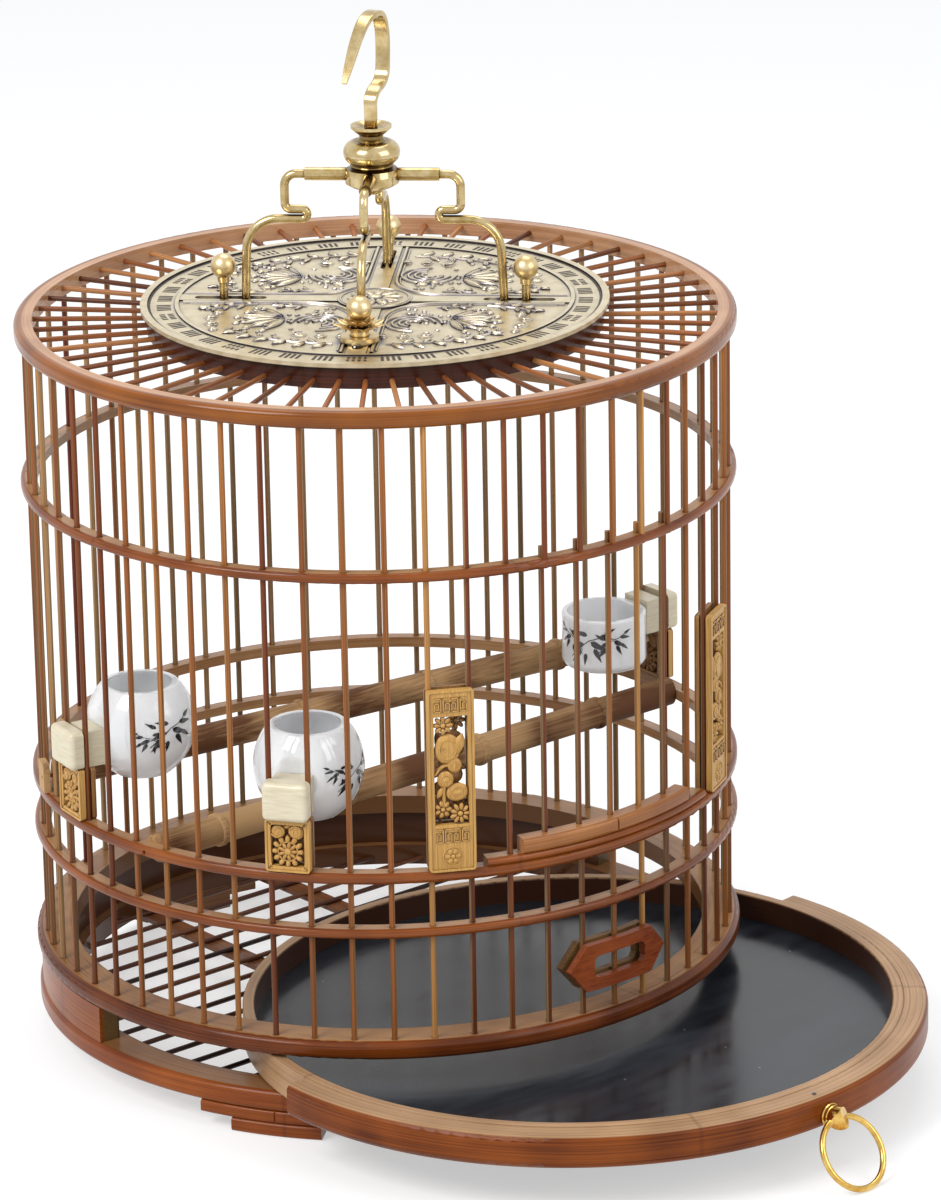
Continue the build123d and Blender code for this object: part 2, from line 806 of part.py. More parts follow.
def make_pull_ring():
    # the ring leans out from its eye until its far end lies on the floor, if it reaches that far
    lean = math.degrees(math.acos(min(1, (pull_z - pull_wire_r) / (2 * pull_ring_r))))
    ring = Rot(quarter_turn, 0, 0) * Torus(pull_ring_r, pull_wire_r)
    ring = Rot(-lean, 0, 0) * Pos(0, 0, -pull_ring_r) * ring
    return pulled_out(Pos(0, -band_r - pull_eye_out, pull_z) * ring)


# Perches: each lies on a chord of the circle of bars, from the middle of one gap to another


def perch_place(gaps, z, r_end):
    # gaps are counted from the +X and the -X side; y is the chord's distance from the axis
    turn = (gaps["right"] - gaps["left"]) / 2 * pitch
    y = bar_circle_r * math.sin(math.radians((gaps["right"] + gaps["left"]) / 2 * pitch))
    half = math.sqrt((r_end - perch_end_gap) ** 2 - y ** 2)
    return {"turn": turn, "y": y, "z": z, "r_end": r_end - perch_end_gap, "half": half}


front_perch = perch_place(front_perch_gaps, middle_hoop_z + middle_hoop_h / 2, hoop_r_in)
back_perch = perch_place(back_perch_gaps, middle_top + perch_r, bar_circle_r - bar_r)


def make_perch(place, knot_shares):
    y = place["y"]
    z = place["z"]
    perch = rod_along_x(-place["r_end"], place["r_end"], y, z, perch_r)
    for share in knot_shares:
        knot = Cylinder(perch_r + perch_knot_r, perch_knot_w)
        knot = fillet(knot.edges(), min(perch_knot_r, most_round_share * perch_knot_w))
        perch += Pos(share * place["half"], y, z) * Rot(0, quarter_turn, 0) * knot
    inside = Cylinder(place["r_end"], 4 * perch_r, align=standing)
    perch = Rot(0, 0, place["turn"]) * (perch & Pos(0, 0, z - 2 * perch_r) * inside)
    return perch - perch_pins(place, place["r_end"] + overrun, pin_fit)


def perch_pins(place, reach, extra=0):
    # a pin in each end of a perch, out to a distance from the cage's axis
    inner = place["half"] - perch_pin_in
    outer = math.sqrt(reach ** 2 - place["y"] ** 2)
    right = rod_along_x(inner, outer, place["y"], place["z"], perch_pin_r + extra)
    return [Rot(0, 0, place["turn"]) * pin for pin in (right, mirror(right, about=Plane.YZ))]


def make_perch_pins():
    pins = perch_pins(front_perch, hoop_r_out - perch_pin_inset)
    return pins + perch_pins(back_perch, wall_out + bracket_t - perch_pin_inset)


def make_perch_brackets():
    bracket = slab(wall_out, wall_out + bracket_t, bracket_w, middle_top, middle_top + bracket_h)
    right = Rot(0, 0, back_perch_gaps["right"] * pitch) * bracket
    left = Rot(0, 0, full_turn / 2 - back_perch_gaps["left"] * pitch) * bracket
    pins = perch_pins(back_perch, wall_out + 2 * bracket_t, pin_fit)
    return [right - pins, left - pins]


# Carved plates


def motif(place_share, width, height):
    # a rounded leaf or flower left standing in an opening, sized by half the opening's width
    x, y, x_r, y_r = place_share
    return Pos(x * width / 2, y * height / 2) * Ellipse(x_r * width / 2, y_r * width / 2)


def jamb_opening():
    # one tall opening with a spray of leaves and flowers across it
    top, bottom = [(1 / 2 - share) * jamb_h for share in jamb_opening_shares]
    width = jamb_w - 2 * carved_border
    height = top - bottom
    opening = RectangleRounded(width, height, carved_round)
    opening -= [motif(share, width, height) for share in jamb_motif_shares]
    return Pos(0, (top + bottom) / 2) * opening


def clip_opening():
    # a round flower in a ring of small petals, with a curl in each upper corner
    width = clip_w - 2 * carved_border
    height = clip_h - 2 * carved_border
    opening = RectangleRounded(width, height, carved_round)
    opening -= [motif(share, width, height) for share in clip_motif_shares]
    flower = Pos(0, clip_motif_shares[0][1] * height / 2)
    petal = Pos(0, clip_petal_ring_share * width / 2) * Circle(clip_petal_share * width / 2)
    for number in range(clip_petals):
        opening -= flower * Rot(0, 0, number * full_turn / clip_petals) * petal
    return opening


def carved_plate(x_in, thickness, width, height, low, opening):
    plate = slab(x_in, x_in + thickness, width, low, low + height)
    plate = fillet(plate.edges().filter_by(Axis.X), carved_round)
    facing = Plane(origin=(x_in - overrun, 0, low + height / 2), x_dir=(0, 1, 0), z_dir=(1, 0, 0))
    return plate - extrude(facing * opening, thickness + 2 * overrun, dir=(1, 0, 0))


def make_jamb(side):
    turn = Rot(0, 0, front + side * jamb_angle)
    opening = jamb_opening()
    if side > 0:
        opening = mirror(opening, about=Plane.YZ)
    outer = carved_plate(wall_out, carved_t, jamb_w, jamb_h, middle_top, opening)
    backing = carved_plate(wall_in - carved_back_t, carved_back_t, jamb_w, jamb_h, middle_top, opening)
    return turn * outer, turn * backing


def make_clip(gap):
    # a carved plate outside and inside the bars, with a block and a saddle above them;
    # the block's tongue goes between the bars, through the saddle and into the cup
    turn = Rot(0, 0, front + gap * pitch)
    opening = clip_opening()
    plate = carved_plate(wall_out, carved_t, clip_w, clip_h, middle_top, opening)
    backing = carved_plate(wall_in - carved_back_t, carved_back_t, clip_w, clip_h, middle_top, opening)
    low = middle_top + clip_h
    block = slab(wall_out, wall_out + block_t, block_w, low, low + block_h)
    block = fillet(block.edges().filter_by(Axis.X) + block.edges().group_by(Axis.X)[-1], block_round)
    block += tongue(wall_out + block_t / 2)
    saddle = slab(saddle_in, wall_in, saddle_w, low, low + saddle_h)
    saddle -= tongue(wall_in + overrun, pin_fit)
    return [turn * shape for shape in (plate, backing, block, saddle)]


def tongue(x_out, extra=0):
    size = Box(x_out - tongue_end_x, tongue_w + 2 * extra, tongue_h + 2 * extra)
    return Pos((x_out + tongue_end_x) / 2, 0, tongue_z) * size


# Cups


def cup_shell(outer, inner, belly_x, gap):
    # a flat back stands against the saddle, with a blind socket for the tongue
    size = 4 * globe_r
    shell = Pos(belly_x, 0) * outer & Pos(cup_back_x - size / 2, 0, tongue_z) * Box(size, size, size)
    hollow_x = cup_back_x - cup_back_wall - size / 2
    shell -= Pos(belly_x, 0) * inner & Pos(hollow_x, 0, tongue_z) * Box(size, size, size)
    return Rot(0, 0, front + gap * pitch) * (shell - tongue(cup_back_x + overrun, pin_fit))


def globe(foot_r, belly_r, rim_r, low, high):
    # turned so that the revolved skin starts at the front of the cup, away from its flat back
    belly_z = globe_z + globe_belly_share * globe_h
    side = ThreePointArc((foot_r, low), (belly_r, belly_z), (rim_r, high))
    outline = Polyline((rim_r, high), (0, high), (0, low), (foot_r, low)) + side
    return Rot(0, 0, full_turn / 2) * revolve(Plane.XZ * make_face(outline), Axis.Z)


def make_globe_cup(gap):
    top = globe_z + globe_h
    outer = globe(globe_foot_r, globe_r, globe_rim_r, globe_z, top)
    outer = fillet(outer.edges().group_by(Axis.Z)[-1], cup_lip_round)
    mouth_r = globe_rim_r - cup_wall
    inner = globe(globe_foot_r - cup_wall, globe_r - cup_wall, mouth_r, globe_z + cup_wall, top)
    inner += Pos(0, 0, top - overrun) * Cylinder(mouth_r, 2 * overrun, align=standing)
    return cup_shell(outer, inner, cup_back_x - globe_r + globe_belly_behind, gap)


def make_tub_cup(gap):
    outer = Pos(0, 0, tub_z) * Cylinder(tub_r, tub_h, align=standing)
    outer = fillet(outer.edges().group_by(Axis.Z)[0], tub_round)
    outer = fillet(outer.edges().group_by(Axis.Z)[-1], cup_lip_round)
    inner = Pos(0, 0, tub_z + cup_wall) * Cylinder(tub_r - cup_wall, tub_h, align=standing)
    return cup_shell(outer, inner, cup_back_x - tub_r + tub_belly_behind, gap)


# Window plate


def make_window(x_in):
    # a long hexagon with a slot, curved to the bars
    half_w = window_w / 2
    half_h = window_h / 2
    shoulder = half_w - window_point
    corners = [(-half_w, 0), (-shoulder, -half_h), (shoulder, -half_h)]
    corners += [(half_w, 0), (shoulder, half_h), (-shoulder, half_h)]
    hexagon = Polygon(*corners, align=None)
    hexagon -= RectangleRounded(window_slot_w, window_slot_h, window_slot_round)
    facing = Plane(origin=(0, 0, window_z + half_h), x_dir=(1, 0, 0), z_dir=(0, -1, 0))
    prism = extrude(facing * hexagon, x_in + 2 * window_t, dir=(0, -1, 0))
    shell = full_ring(x_in, x_in + window_t, window_z - overrun, window_z + window_h + overrun)
    return shell & prism


# Write every sub-part

os.makedirs("parts", exist_ok=True)

save("top_ring", [make_top_ring()])
save("upper_hoop", [make_upper_hoop()])
save("middle_hoop", [make_middle_hoop()])
save("lower_hoop", [make_lower_hoop()])
save("base_ring", [make_base_ring()])
save("housing_wall", [make_housing_wall()])
save("bottom_ring", [make_bottom_ring()])
save("wall_bars", make_wall_bars())
save("floor_slats", [grille_slat(number) for number in range(slat_count)])
save("floor_rails", [grille_rail(side) for side in (-1, 1)])
for name, angle in foot_angles.items():
    save(name + "_foot", make_foot(angle))

save("door_sill", [make_door_sill()])
save("door_rail", [make_door_rail()])
save("door_bars", make_door_bars())

save("top_bars", make_top_bars())
save("plate_ring", [make_plate_ring()])
save("carrying_ring", [make_carrying_ring()])
save("brass_plate", [make_brass_plate()])

save("hanger_hub", [make_hub()])
save("arm_sleeves", make_arm_sleeves())
save("claws", [make_claw(angle) for angle in claw_angles()])
save("claw_balls", make_claw_balls())
save("petal_washer", [make_petal_washer()])
save("washer_collar", [make_washer_collar()])
save("hook", [make_hook()])
save("hook_nut", [make_hook_nut()])

save("tray_rim", [make_tray_rim()])
save("tray_sheet", [make_tray_sheet()])
save("tray_band", [make_tray_band()])
save("tray_pull", [make_tray_pull()])
save("pull_ring", [make_pull_ring()])

save("front_perch", [make_perch(front_perch, front_knot_shares)])
save("back_perch", [make_perch(back_perch, back_knot_shares)])
save("perch_pins", make_perch_pins())
save("perch_brackets", make_perch_brackets())

for name, side in (("left", -1), ("right", 1)):
    outer, backing = make_jamb(side)
    save(name + "_jamb", [outer])
    save(name + "_jamb_backing", [backing])
for name, gap in clip_gaps.items():
    plate, backing, block, saddle = make_clip(gap)
    save(name + "_clip_plate", [plate])
    save(name + "_clip_backing", [backing])
    save(name + "_clip_block", [block])
    save(name + "_clip_saddle", [saddle])
save("window_plate", [make_window(wall_out)])
save("window_backing", [make_window(wall_in - window_t)])

save("left_cup", [make_globe_cup(clip_gaps["left"])])
save("front_cup", [make_globe_cup(clip_gaps["front"])])
save("right_cup", [make_tub_cup(clip_gaps["right"])])
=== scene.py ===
import json
import math

import bmesh
import bpy
from mathutils import Matrix, Vector
from mathutils.bvhtree import BVHTree

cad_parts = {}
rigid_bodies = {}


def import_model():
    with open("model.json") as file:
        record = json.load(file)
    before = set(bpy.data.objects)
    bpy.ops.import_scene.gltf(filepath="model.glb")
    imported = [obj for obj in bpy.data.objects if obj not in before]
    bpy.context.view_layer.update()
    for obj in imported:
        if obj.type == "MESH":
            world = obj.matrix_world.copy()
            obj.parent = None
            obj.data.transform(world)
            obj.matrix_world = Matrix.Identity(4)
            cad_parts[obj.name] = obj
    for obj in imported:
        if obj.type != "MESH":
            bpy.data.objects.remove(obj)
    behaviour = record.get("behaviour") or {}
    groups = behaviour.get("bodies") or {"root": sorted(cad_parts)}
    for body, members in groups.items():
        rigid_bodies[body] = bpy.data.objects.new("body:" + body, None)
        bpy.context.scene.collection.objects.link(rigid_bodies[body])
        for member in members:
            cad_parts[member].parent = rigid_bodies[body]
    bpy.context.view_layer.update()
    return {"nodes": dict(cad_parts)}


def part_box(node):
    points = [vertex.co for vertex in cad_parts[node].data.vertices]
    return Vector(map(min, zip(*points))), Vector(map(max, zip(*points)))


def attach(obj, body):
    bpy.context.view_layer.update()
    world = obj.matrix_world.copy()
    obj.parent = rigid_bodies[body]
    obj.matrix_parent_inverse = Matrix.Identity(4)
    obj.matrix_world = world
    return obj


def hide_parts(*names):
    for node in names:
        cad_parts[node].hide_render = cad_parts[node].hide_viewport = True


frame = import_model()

nodes = frame["nodes"]
print("frame loaded:", len(nodes), "nodes")

# The cage as the frame has it, in millimetres and degrees
cage = {
    "barCircle": 160.0,
    "barCount": 56,
    "front": -90.0,  # the side with the door
    "trayTurn": 2.6,  # the tray's pull is this far round from the door
}
pitch = 360.0 / cage["barCount"]
barGap = math.tau * cage["barCircle"] / cage["barCount"]
trayLow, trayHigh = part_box("tray_rim")
trayCentre = (trayLow + trayHigh) / 2


def linear(hexColour):
    # an sRGB colour such as "#C08A5A" as the linear numbers that the shaders take
    parts = [int(hexColour[i:i + 2], 16) / 255 for i in (1, 3, 5)]
    return tuple(p / 12.92 if p <= 0.04045 else ((p + 0.055) / 1.055) ** 2.4 for p in parts) + (1.0,)


def addNode(tree, kind, settings=(), links=(), out=0):
    # settings: the operation alone, or a dictionary; links: for each socket the output that
    # feeds it, its value or its colour
    node = tree.nodes.new("ShaderNode" + kind)
    if isinstance(settings, str):
        settings = {"operation": settings}
    for name, value in dict(settings).items():
        setattr(node, name, value)
    for socket, value in dict(links).items():
        if isinstance(value, bpy.types.NodeSocket):
            tree.links.new(value, node.inputs[socket])
        else:
            node.inputs[socket].default_value = linear(value) if isinstance(value, str) else value
    return node.outputs[out]


mix = {"data_type": "RGBA"}
smooth = {"interpolation_type": "SMOOTHSTEP"}
noise4D = {"noise_dimensions": "4D"}
noise1D = {"noise_dimensions": "1D"}


def startMaterial(name, **sockets):
    # sockets: what is the same all over the surface, set on the shader itself
    material = bpy.data.materials.new(name)
    material.use_nodes = True
    tree = material.node_tree
    shader = tree.nodes["Principled BSDF"]
    for socket, value in sockets.items():
        shader.inputs[socket.replace("_", " ")].default_value = value
    return material, tree, shader


surfaceLook = {
    "roughness": None,
    "roughRange": (0.0, 1.0),  # pattern that gives the smooth and the rough part
    "bump": 0.0,
    "relief": 0.1,  # mm, how deep the fine relief is
}


def setSurface(tree, shader, look, colour, pattern):
    # the colour, and a roughness and a fine relief that follow the pattern
    look = {**surfaceLook, **look}
    tree.links.new(colour, shader.inputs["Base Color"])
    if look["roughness"]:
        limits = [pattern, *look["roughRange"], *look["roughness"]]
        rough = addNode(tree, "MapRange", {}, dict(enumerate(limits)))
        tree.links.new(rough, shader.inputs["Roughness"])
    if look["bump"]:
        relief = addNode(tree, "Bump", {}, {
            "Strength": look["bump"], "Distance": 0.001 * look["relief"], "Height": pattern})
        tree.links.new(relief, shader.inputs["Normal"])


def inMillimetres(tree, centre=(0, 0, 0), turn=0):
    # the piece's own coordinates, centred and turned, in millimetres
    return addNode(tree, "Mapping", {"vector_type": "TEXTURE"}, {
        "Vector": addNode(tree, "TexCoord", out=3),
        "Location": centre,
        "Rotation": (0, 0, math.radians(turn)),
        "Scale": (0.001, 0.001, 0.001),
    })


def aroundAxis(tree, place):
    # height, angle round the axis and distance from it
    parts = addNode(tree, "SeparateXYZ", {}, {0: place}).node
    angle = addNode(tree, "Math", "ARCTAN2", {0: parts.outputs[1], 1: parts.outputs[0]})
    flat = addNode(tree, "VectorMath", "MULTIPLY", {0: place, 1: (1, 1, 0)})
    radius = addNode(tree, "VectorMath", "LENGTH", {0: flat}, out=1)
    return parts.outputs[2], angle, radius


# Bamboo, split, bent and varnished: long fibres that show as streaks, a tan core where
# the strip is cut, a redder skin outside, and a fine line at each node of the stem

bambooLook = {
    "run": "round",  # which way the fibres go: round the axis, x or y
    "centre": (0, 0, 0),
    "turn": 0,
    "streakLong": 70.0,  # mm
    "streakWide": 0.7,  # mm, a little coarser than real fibres, so that they show
    "patch": 38.0,  # mm, the slow change of tone
    "patchShare": 0.8,  # how much the slow change counts beside the streaks
    "range": (0.62, 1.18),  # noise that gives the dark and the light tone
    "coreDark": "#8C5E38",
    "coreLight": "#BA9064",
    "skinDark": "#471A06",
    "skinLight": "#8F4A1C",
    "skinFrom": None,  # mm from the axis, where the skin starts
    "skinWave": 1.2,  # mm, how far its border wanders
    "skinSoft": 0.9,  # mm, how wide the border is
    "innerTo": None,  # mm from the axis, up to where the inner face's own tone goes
    "innerColour": "#4A2A1C",
    "innerSoft": 0.8,
    "lineSpacing": None,  # mm between the glue lines of a laminated ring
    "line": (0.86, 0.97, 0.55),  # shares of a layer where it starts and is full, and how strong it is
    "stemNodes": 0,  # node marks round the ring
    "stemNodeShift": 0.0,
    # mm to a mark's edge and to its full tone, how strong it is, and its colour
    "stemNodeMark": (1.5, 0.4, 0.28, "#4A1D0C"),
    "barMarks": False,  # dark rims at the holes that the bars stand in: stain at the joint and painted shade round each bar
    "barMark": (2.2, 1.4, 0.7, "#3A1A0E"),
    "roughness": (0.22, 0.38),
    "bump": 0.3,
    "relief": 0.2,
    "coat": 0.12,
}


def makeBamboo(name, **changes):
    look = {**bambooLook, **changes}
    material, tree, shader = startMaterial(name, IOR=1.5, Specular_IOR_Level=0.16, Coat_Roughness=0.1,
                                           Coat_Weight=look["coat"])
    place = inMillimetres(tree, look["centre"], look["turn"])
    _, angle, radius = aroundAxis(tree, place)
    along, across = 1 / look["streakLong"], 1 / look["streakWide"]
    stretch = {
        "round": (along, along, across),
        "x": (along, across, across),
        "y": (across, along, across),
    }[look["run"]]
    scaled = addNode(tree, "VectorMath", "MULTIPLY", {0: place, 1: stretch})
    depth = addNode(tree, "Math", "MULTIPLY", {0: radius, 1: across if look["run"] == "round" else 0})
    fibre = addNode(tree, "TexNoise", noise4D, {
        "Vector": scaled, "W": depth, "Scale": 1.0, "Detail": 3.0, "Roughness": 0.6})
    patchPlace = addNode(tree, "VectorMath", "SCALE", {0: place, "Scale": 1 / look["patch"]})
    patch = addNode(tree, "TexNoise", {}, {"Vector": patchPlace, "Scale": 1.0, "Detail": 2.0})
    both = addNode(tree, "Math", "MULTIPLY_ADD", {0: patch, 1: look["patchShare"], 2: fibre})
    tone = addNode(tree, "MapRange", {}, {0: both, 1: look["range"][0], 2: look["range"][1]})
    colour = addNode(tree, "Mix", mix, {0: tone, 6: look["coreDark"], 7: look["coreLight"]}, out=2)
    if look["lineSpacing"]:
        start, full, strength = look["line"]
        layer = addNode(tree, "Math", "DIVIDE", {0: radius, 1: look["lineSpacing"]})
        part = addNode(tree, "Math", "FRACT", {0: layer})
        line = addNode(tree, "MapRange", smooth, {0: part, 1: start, 2: full})
        soft = addNode(tree, "Math", "MULTIPLY", {0: line, 1: strength})
        colour = addNode(tree, "Mix", mix, {0: soft, 6: colour, 7: look["skinDark"]}, out=2)
    if look["skinFrom"]:
        skin = addNode(tree, "Mix", mix, {0: tone, 6: look["skinDark"], 7: look["skinLight"]}, out=2)
        wavy = addNode(tree, "Math", "MULTIPLY_ADD", {0: patch, 1: look["skinWave"], 2: radius})
        edge = look["skinFrom"] + look["skinWave"] / 2
        outside = addNode(tree, "MapRange", smooth, {0: wavy, 1: edge, 2: edge + look["skinSoft"]})
        colour = addNode(tree, "Mix", mix, {0: outside, 6: colour, 7: skin}, out=2)
    if look["innerTo"]:
        inner = addNode(tree, "MapRange", {}, {
            0: radius, 1: look["innerTo"] + look["innerSoft"], 2: look["innerTo"]})
        colour = addNode(tree, "Mix", mix, {0: inner, 6: colour, 7: look["innerColour"]}, out=2)
    if look["stemNodes"]:
        reach, full, strength, dark = look["stemNodeMark"]
        shift = addNode(tree, "Math", "ADD", {0: angle, 1: look["stemNodeShift"]})
        turns = addNode(tree, "Math", "MULTIPLY", {0: shift, 1: look["stemNodes"] / math.tau})
        part = addNode(tree, "Math", "FRACT", {0: turns})
        off = addNode(tree, "Math", "SUBTRACT", {0: part, 1: 0.5})
        near = addNode(tree, "Math", "ABSOLUTE", {0: off})
        wide = look["stemNodes"] / (math.tau * cage["barCircle"])  # share of a turn in one millimetre
        mark = addNode(tree, "MapRange", smooth, {0: near, 1: reach * wide, 2: full * wide})
        faint = addNode(tree, "Math", "MULTIPLY", {0: mark, 1: strength})
        colour = addNode(tree, "Mix", mix, {0: faint, 6: colour, 7: dark}, out=2)
    if look["barMarks"]:
        # stain at the joint and painted shade round each bar's foot
        reach, full, strength, dark = look["barMark"]
        step = addNode(tree, "Math", "MULTIPLY_ADD", {0: angle, 1: cage["barCount"] / math.tau, 2: 0.5})
        part = addNode(tree, "Math", "FRACT", {0: step})
        side = addNode(tree, "Math", "MULTIPLY_ADD", {0: part, 1: barGap, 2: -barGap / 2})
        out = addNode(tree, "Math", "SUBTRACT", {0: radius, 1: cage["barCircle"]})
        spot = addNode(tree, "CombineXYZ", {}, {0: side, 1: out})
        away = addNode(tree, "VectorMath", "LENGTH", {0: spot}, out=1)
        mark = addNode(tree, "MapRange", smooth, {0: away, 1: reach, 2: full, 4: strength})
        colour = addNode(tree, "Mix", mix, {0: mark, 6: colour, 7: dark}, out=2)
    setSurface(tree, shader, look, colour, fibre)
    return material


# Bars: bamboo drawn to round rods and varnished, each rod with a tone of its own, upright ones painted paler
# towards the top as if lit from above

rodLook = {
    "streak": (90.0, 0.5),  # mm, how long and how wide
    "streakRange": (0.35, 0.68),
    "streakTone": (0.55, 1.25),  # darkest and palest streak against the rod's own tone
    "middle": 0.55,  # share of the rods that are darker than the middle tone
    "lean": 1.6,  # how far round the skin's side turns by chance
    "skinEdge": (0.5, -0.3),  # mm from the rod's middle, where the skin starts to go and is gone
    "rise": (80.0, 340.0, 0.97, 1.4),  # two heights and the tone at each, for upright bars: painted light, paler towards the top
    "roughness": (0.3, 0.5),
    "bump": 0.3,
}


def makeRods(name, run, shift, tones, inside=(), circle=cage["barCircle"]):
    # inside: tones of the side without the skin, which each rod turns its own way by chance
    look = rodLook
    material, tree, shader = startMaterial(name, IOR=1.5, Specular_IOR_Level=0.2, Coat_Weight=0.1,
                                           Coat_Roughness=0.12)
    place = inMillimetres(tree)
    if run == "x":  # shift: mm from rod to rod
        across = addNode(tree, "SeparateXYZ", {}, {0: place}, out=1)
        step = addNode(tree, "Math", "DIVIDE", {0: across, 1: shift})
        number = addNode(tree, "Math", "ROUND", {0: step})
    else:  # shift: part of a pitch that the first rod is turned by
        up, angle, radius = aroundAxis(tree, place)
        step = addNode(tree, "Math", "MULTIPLY_ADD", {0: angle, 1: cage["barCount"] / math.tau, 2: shift})
        whole = addNode(tree, "Math", "ROUND", {0: step})
        number = addNode(tree, "Math", "FLOORED_MODULO", {0: whole, 1: cage["barCount"]})
    chance = addNode(tree, "TexWhiteNoise", noise1D, {"W": number})
    long, wide = 1 / look["streak"][0], 1 / look["streak"][1]
    stretch = {"up": (wide, wide, long), "out": (long, long, wide), "x": (long, wide, wide)}[run]
    scaled = addNode(tree, "VectorMath", "MULTIPLY", {0: place, 1: stretch})
    fibre = addNode(tree, "TexNoise", noise4D, {
        "Vector": scaled, "W": chance, "Scale": 1.0, "Detail": 3.0, "Roughness": 0.6})
    dark, middle, pale = tones
    low = addNode(tree, "MapRange", {}, {0: chance, 1: 0.0, 2: look["middle"]})
    high = addNode(tree, "MapRange", {}, {0: chance, 1: look["middle"], 2: 1.0})
    colour = addNode(tree, "Mix", mix, {0: low, 6: dark, 7: middle}, out=2)
    colour = addNode(tree, "Mix", mix, {0: high, 6: colour, 7: pale}, out=2)
    if inside:
        core = addNode(tree, "Mix", mix, {0: chance, 6: inside[0], 7: inside[1]}, out=2)
        gap = addNode(tree, "Math", "SUBTRACT", {0: step, 1: whole})
        side = addNode(tree, "Math", "MULTIPLY", {0: gap, 1: math.tau * circle / cage["barCount"]})
        out = addNode(tree, "Math", "SUBTRACT", {0: radius, 1: circle})
        between = addNode(tree, "Math", "ADD", {0: number, 1: 0.5})
        turned = addNode(tree, "TexWhiteNoise", noise1D, {"W": between})
        lean = addNode(tree, "MapRange", {}, {0: turned, 3: -look["lean"], 4: look["lean"]})
        reach = addNode(tree, "Math", "MULTIPLY_ADD", {0: side, 1: lean, 2: out})
        half = addNode(tree, "MapRange", smooth, {0: reach, 1: look["skinEdge"][0], 2: look["skinEdge"][1]})
        colour = addNode(tree, "Mix", mix, {0: half, 6: colour, 7: core}, out=2)
    limits = [fibre, *look["streakRange"], *look["streakTone"]]
    streak = addNode(tree, "MapRange", {}, dict(enumerate(limits)))
    if run == "up":
        # painted light: upright bars grow paler with height, as if lit from above
        rise = addNode(tree, "MapRange", {}, dict(enumerate([up, *look["rise"]])))
        streak = addNode(tree, "Math", "MULTIPLY", {0: streak, 1: rise})
    colour = addNode(tree, "VectorMath", "SCALE", {0: colour, "Scale": streak})
    setSurface(tree, shader, look, colour, fibre)
    return material


# Brass: turned and drawn, buffed bright, with fine buffing marks, a slight stain, tarnish with
# painted shade that darkens the creases and recesses, and painted shade low on a folded edge

brassLook = {
    "pale": "#E2C070",
    "deep": "#BE9040",  # where it is stained
    "roughness": (0.12, 0.2),
    "cloud": 0.16,  # stains for each mm
    "stain": (0.35, 0.7),
    "recess": 0.0,  # mm, how near a wall is to make a recess, which gets painted shade and tarnish
    # tones of the painted shade and tarnish in recesses and in creases
    "bloomed": "#6E6A78",
    "bloom": (0.97, 0.7),  # how open a spot is where the painted shade and bloom start and are full
    "creased": "#1E1B22",
    "crease": (0.75, 0.4),
    "foot": 0.0,  # mm up, below which the folded edge gets painted shade
    "footSoft": 0.3,
    "dull": "#3A2C1C",
    "buffing": 2.2,  # marks for each mm
    "bump": 0.06,
}


def makeBrass(name, **changes):
    look = {**brassLook, **changes}
    material, tree, shader = startMaterial(name, Metallic=1.0)
    place = inMillimetres(tree)
    cloud = addNode(tree, "TexNoise", {}, {
        "Vector": place, "Scale": look["cloud"], "Detail": 4.0, "Roughness": 0.6})
    stain = addNode(tree, "MapRange", {}, {0: cloud, 1: look["stain"][0], 2: look["stain"][1]})
    colour = addNode(tree, "Mix", mix, {0: stain, 6: look["pale"], 7: look["deep"]}, out=2)
    if look["recess"]:
        # painted shade and tarnish: darker the more a spot is closed in by walls
        openness = addNode(tree, "AmbientOcclusion", {"samples": 8}, {
            "Distance": 0.001 * look["recess"]}, out=1)
        for (start, full), tint in ((look["bloom"], look["bloomed"]), (look["crease"], look["creased"])):
            share = addNode(tree, "MapRange", {}, {0: openness, 1: start, 2: full})
            colour = addNode(tree, "Mix", mix, {0: share, 6: colour, 7: tint}, out=2)
    if look["foot"]:
        # painted shade: the edge below that height darker, as in the shadow under the plate
        level = addNode(tree, "SeparateXYZ", {}, {0: place}, out=2)
        share = addNode(tree, "MapRange", {}, {0: level, 1: look["foot"] + look["footSoft"], 2: look["foot"]})
        colour = addNode(tree, "Mix", mix, {0: share, 6: colour, 7: look["dull"]}, out=2)
    fine = addNode(tree, "TexNoise", {}, {"Vector": place, "Scale": look["buffing"], "Detail": 3.0})
    setSurface(tree, shader, look, colour, fine)
    return material


# Materials of an even make: two tones by one pattern, some with painted shade in the cuts and some dusty

evenLook = {
    "shader": {},  # what is the same all over
    "centre": (0, 0, 0),
    "pattern": (1, 1, 1),  # changes of tone for each mm along x, y and z
    "detail": 3.0,
    "fine": 0.5,  # how much the finest part of the pattern counts
    "wave": 0.0,
    "range": (0.3, 0.7),  # pattern that gives the deep and the pale tone
    "cut": None,  # tone of the painted shade in the cuts
    "cutDepth": 2.2,  # mm
    "cutRange": (0.85, 0.3),  # how open a spot is where that tone starts and is full
    "dust": None,  # tone of the dust
    "dustEach": 0.045,  # specks for each mm
    "speck": (0.032, 0.018, 0.5),  # a speck's edge, its full part, and how strong it is
}

# Boxwood, carved and waxed: a fine even grain, with an amber painted shade in the cuts that leaves the raised
# parts paler
boxwood = {
    "shader": {"IOR": 1.5, "Coat_Weight": 0.15, "Coat_Roughness": 0.3},
    "pattern": (1.6, 1.6, 0.06),
    "detail": 4.0,
    "fine": 0.6,
    "range": (0.32, 0.68),
    "roughness": (0.38, 0.58),
    "bump": 0.25,
}

# Bone, sawn and polished: cream, with faint wavy growth lines
bone = {
    "shader": {"IOR": 1.54, "Coat_Weight": 0.2, "Coat_Roughness": 0.2},
    "pattern": (0.12, 0.12, 0.9),
    "wave": 0.3,
    "deep": "#CFC3A4",
    "pale": "#DED4BA",
    "roughness": (0.3, 0.42),
    "bump": 0.1,
}

